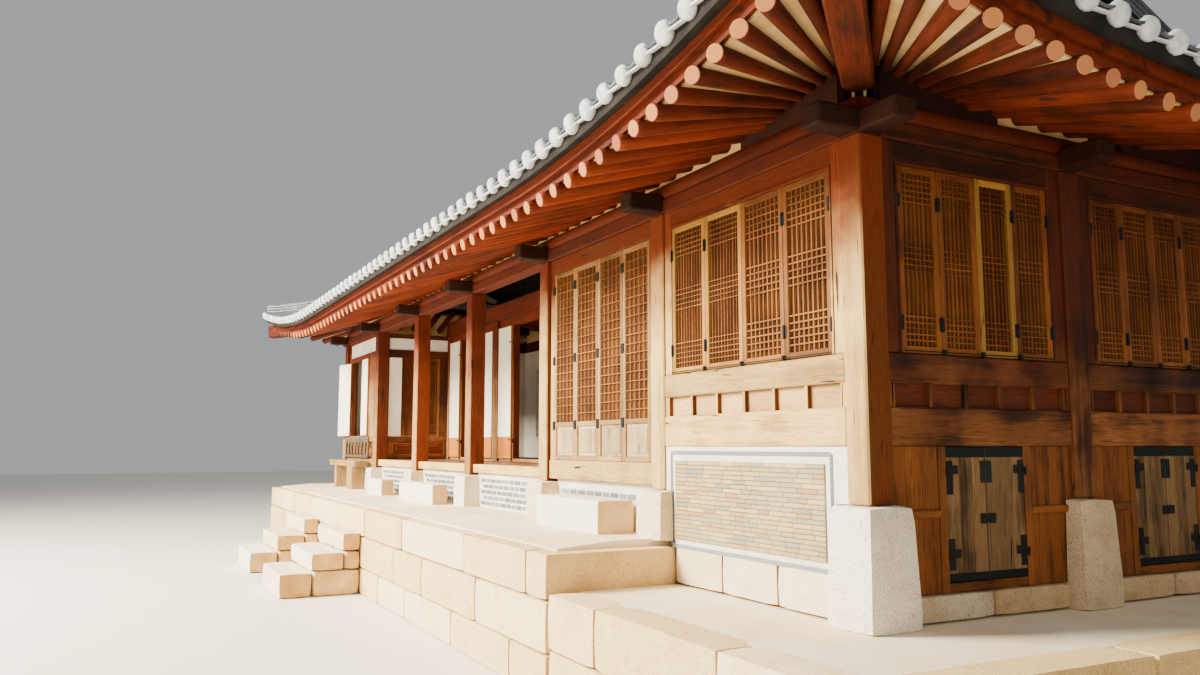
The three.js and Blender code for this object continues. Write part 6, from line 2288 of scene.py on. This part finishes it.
@dataclass
class WestRoom:
    """The west room's front: an open window with paper leaves, a rail with balusters and a bench."""

    plane: float = -0.06
    level: float = LEVELS.plinth

    def build(self) -> None:
        """Makes the wall, the leaves, the rail and the bench."""
        self.wall()
        self.leaves()
        self.rail()
        self.bench()

    def wall(self) -> None:
        """Makes the posts, rails, panels and plaster round the window."""
        level, face = self.level, Face(Side.FRONT, 0.0, self.plane)
        west, east = GRID.x(6) + GRID.half, GRID.x(5) - GRID.half
        work = Members("west_room_joinery", Finishes.PORCH_PINE, 131, replaces=("west_room_front",))
        for z, out in (((1.741, level + 0.16), 0.006), ((level + 0.5, level + 0.62), 0.01),
                       ((level + 2.19, level + 2.3), 0.004), ((level + 2.58, LEVELS.beam_foot), 0.0)):
            work.rail(face, (west, east), (-0.1, out), z, 0.008)
        for u in ((west, west + 0.1), (east - 0.1, east)):
            work.post(face, u, (-0.1, 0.0), (level + 0.14, level + 2.6))
        for u in ((west + 0.1, -15.8), (-14.8, -14.2), (-14.2, east - 0.1)):
            work.post(face, u, (-0.1, -0.002), (level + 0.61, level + 2.2))
        work.make()
        for name, finish, seed, out, z in (
                ("west_room_panels", Finishes.SHADED_PINE, 133, -0.03, (level + 0.14, level + 0.52)),
                ("west_room_plaster", Finishes.PLASTER, 135, -0.02, (level + 2.28, level + 2.6))):
            sheet = Members(name, finish, seed)
            sheet.rail(face, (west, east), (-0.08, out), z, 0.002)
            sheet.make()

    def leaves(self) -> None:
        """Makes the two open leaves, the west one standing off the wall."""
        z0, z1 = self.level + 0.62, self.level + 2.19
        out = self.plane - 0.0003
        turned = Matrix.Rotation(math.radians(17), 4, "Z") @ Matrix.Translation((-0.5, 0, 0))
        for name, place in (("west", Matrix.Translation((-15.802, out, 0)) @ turned),
                            ("east", Matrix.Translation((-14.76, out, 0)))):
            tag = f"west_room_leaf_{name}"
            frame = Members(f"{tag}_frame", Finishes.NEW_PINE, 137, replaces=(tag,), slot="paper")
            for x in (0.0, 0.46):
                frame.box((x, -0.036, z0), (x + 0.04, 0.0, z1), Axis.Z, 0.004, place)
            for z in (z0, z1 - 0.045):
                frame.box((0.04, -0.036, z), (0.46, 0.0, z + 0.045), Axis.X, 0.004, place)
            frame.make()
            paper = Members(f"{tag}_paper", Finishes.PAPER, 139)
            paper.box((0.012, -0.038, z0 + 0.012), (0.488, -0.034, z1 - 0.012), Axis.Z, 0.001, place)
            paper.make()

    def rail(self) -> None:
        """Makes the weathered rail with arched gaps between its balusters."""
        level, face = self.level, Face(Side.FRONT, -16.08, self.plane - 0.006)
        wide, count = 2.0, 7
        step = wide / count
        work = Members("west_room_rail", Finishes.GREY_RAIL, 141)
        for z in ((level + 0.17, level + 0.23), (level + 0.54, level + 0.6)):
            work.rail(face, (0.0, wide), (0.0, 0.045), z, 0.008)
        for k in range(count + 1):
            u = (max(step * k - 0.03, 0.0), min(step * k + 0.03, wide))
            work.post(face, u, (0.004, 0.04), (level + 0.22, level + 0.55), 0.008)
        for k in range(count):
            for near, far, foot in ((0.03, 0.06, 0.42), (0.06, 0.1, 0.47), (0.1, 0.143, 0.5)):
                for u in ((step * k + near, step * k + far), (step * k + step - far, step * k + step - near)):
                    work.rail(face, u, (0.01, 0.036), (level + foot, level + 0.55), 0.003)
        work.make()

    def bench(self) -> None:
        """Makes the long bench on its two legs."""
        level = self.level
        work = Members("bench_seat", Finishes.WORN_LEAF, 143, replaces=("bench",))
        for x0, x1, y0, y1, z0, z1 in ((-16.25, -13.89, -0.4, -0.27, 0.075, 0.12),
                                       (-16.25, -13.89, -0.262, -0.118, 0.075, 0.12),
                                       (-16.24, -13.9, -0.395, -0.36, 0.005, 0.076),
                                       (-16.24, -13.9, -0.16, -0.125, 0.005, 0.076)):
            work.box((x0, y0, level + z0), (x1, y1, level + z1), Axis.X, 0.008)
        for x in (-15.76, -14.6, -13.94):
            work.box((x, -0.365, level + 0.005), (x + 0.05, -0.155, level + 0.074), Axis.Y)
        work.make()
        legs = Members("bench_legs", Finishes.WORN_LEAF, 145)
        for x0, x1 in ((-15.76, -15.6), (-14.6, -14.15)):
            legs.box((x0, -0.39, LEVELS.podium), (x1, -0.13, level + 0.006), Axis.Z, 0.012)
        legs.make()


CAD_FINISHES: dict[str, Finishes] = {
    "corner_brick_panel": Finishes.PLASTER,
    "back_wall": Finishes.PLASTER,
    "west_wall": Finishes.PLASTER,
    "room_floor": Finishes.INNER_BOARDS,
    "loft_floor": Finishes.INNER_BOARDS,
}


def dress_nodes(nodes: dict[str, bpy.types.Object]) -> None:
    """Gives every CAD node a material, the timber ones by default.

    Args:
        nodes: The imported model's nodes by name.
    """
    for name, node in nodes.items():
        node.data.materials.clear()
        node.data.materials.append(CAD_FINISHES.get(name, Finishes.SHADED_PINE).value.material())


def build_walls() -> None:
    """Makes the windows, doors, boards and bricks of the outer walls."""
    old_sun = LeafLook(Finishes.SUNNY_LEAF, Finishes.SUNNY_LEAF, 0.055)
    new_sun = LeafLook(Finishes.NEW_PINE, Finishes.SUNNY_LEAF, 0.046, backing=Finishes.DARK_PAPER, bar=0.007)
    WindowBay("corner_front", Face(Side.FRONT, GRID.x(1) + 0.1128, -0.09), 2.4744, 0.13, 6,
              LEVELS.plinth + 0.4, Finishes.SUNNY_PINE, (new_sun, new_sun, old_sun, old_sun),
              ("corner_front_wall", "corner_window")).build()
    shaded = LeafLook(Finishes.SHADED_LEAF, Finishes.SHADED_LEAF, 0.04)
    renewed = LeafLook(Finishes.NEW_PINE, Finishes.SHADED_LEAF, backing=Finishes.DARK_PAPER, bar=0.007)
    for index, looks in enumerate(((shaded, shaded, renewed, shaded), (shaded,) * 4)):
        name = f"side_bay_{index + 1}"
        WindowBay(name, Face(Side.EAST, GRID.y(index) + 0.1128, 0.08), 1.8944, 0.15, 5, LEVELS.plinth + 0.405,
                  Finishes.SHADED_PINE, looks, (f"{name}_wall", f"{name}_window")).build()
        StoreFront(index).build()
    FoldingDoors(Face(Side.FRONT, GRID.x(2) + 0.1128, -0.06)).build()
    BrickPanel().build()
    BaseWall().build()
    middles = tuple(GRID.x(bay) + 1.35 - GRID.west for bay in range(1, GRID.front_bays + 1))
    PlainWall("back_window", Face(Side.BACK, GRID.west, GRID.back + 0.06), -GRID.west, middles).build()
    PlainWall("west_window", Face(Side.WEST, 0.0, GRID.west - 0.06), GRID.back, (1.06, 3.18)).build()
    Porch().build()
    WestRoom().build()


def main() -> None:
    """Builds the house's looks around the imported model."""
    logging.basicConfig(level=logging.INFO, format="%(message)s")
    noise.seed_set(NOISE_SEED)
    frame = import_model()
    Camera().build()
    Studio().build()
    dress_nodes(frame["nodes"])
    Stonework().build()
    Frame().build()
    build_walls()
    for part in [Eaves(side) for side in Side] + [Hips()] + [Tiling(side) for side in Side]:
        part.build()
    Ridges().build()
    Gable("east_gable", 1, 0.0).build()
    Gable("west_gable", -1, GRID.west).build()


if __name__ == "__main__":
    main()
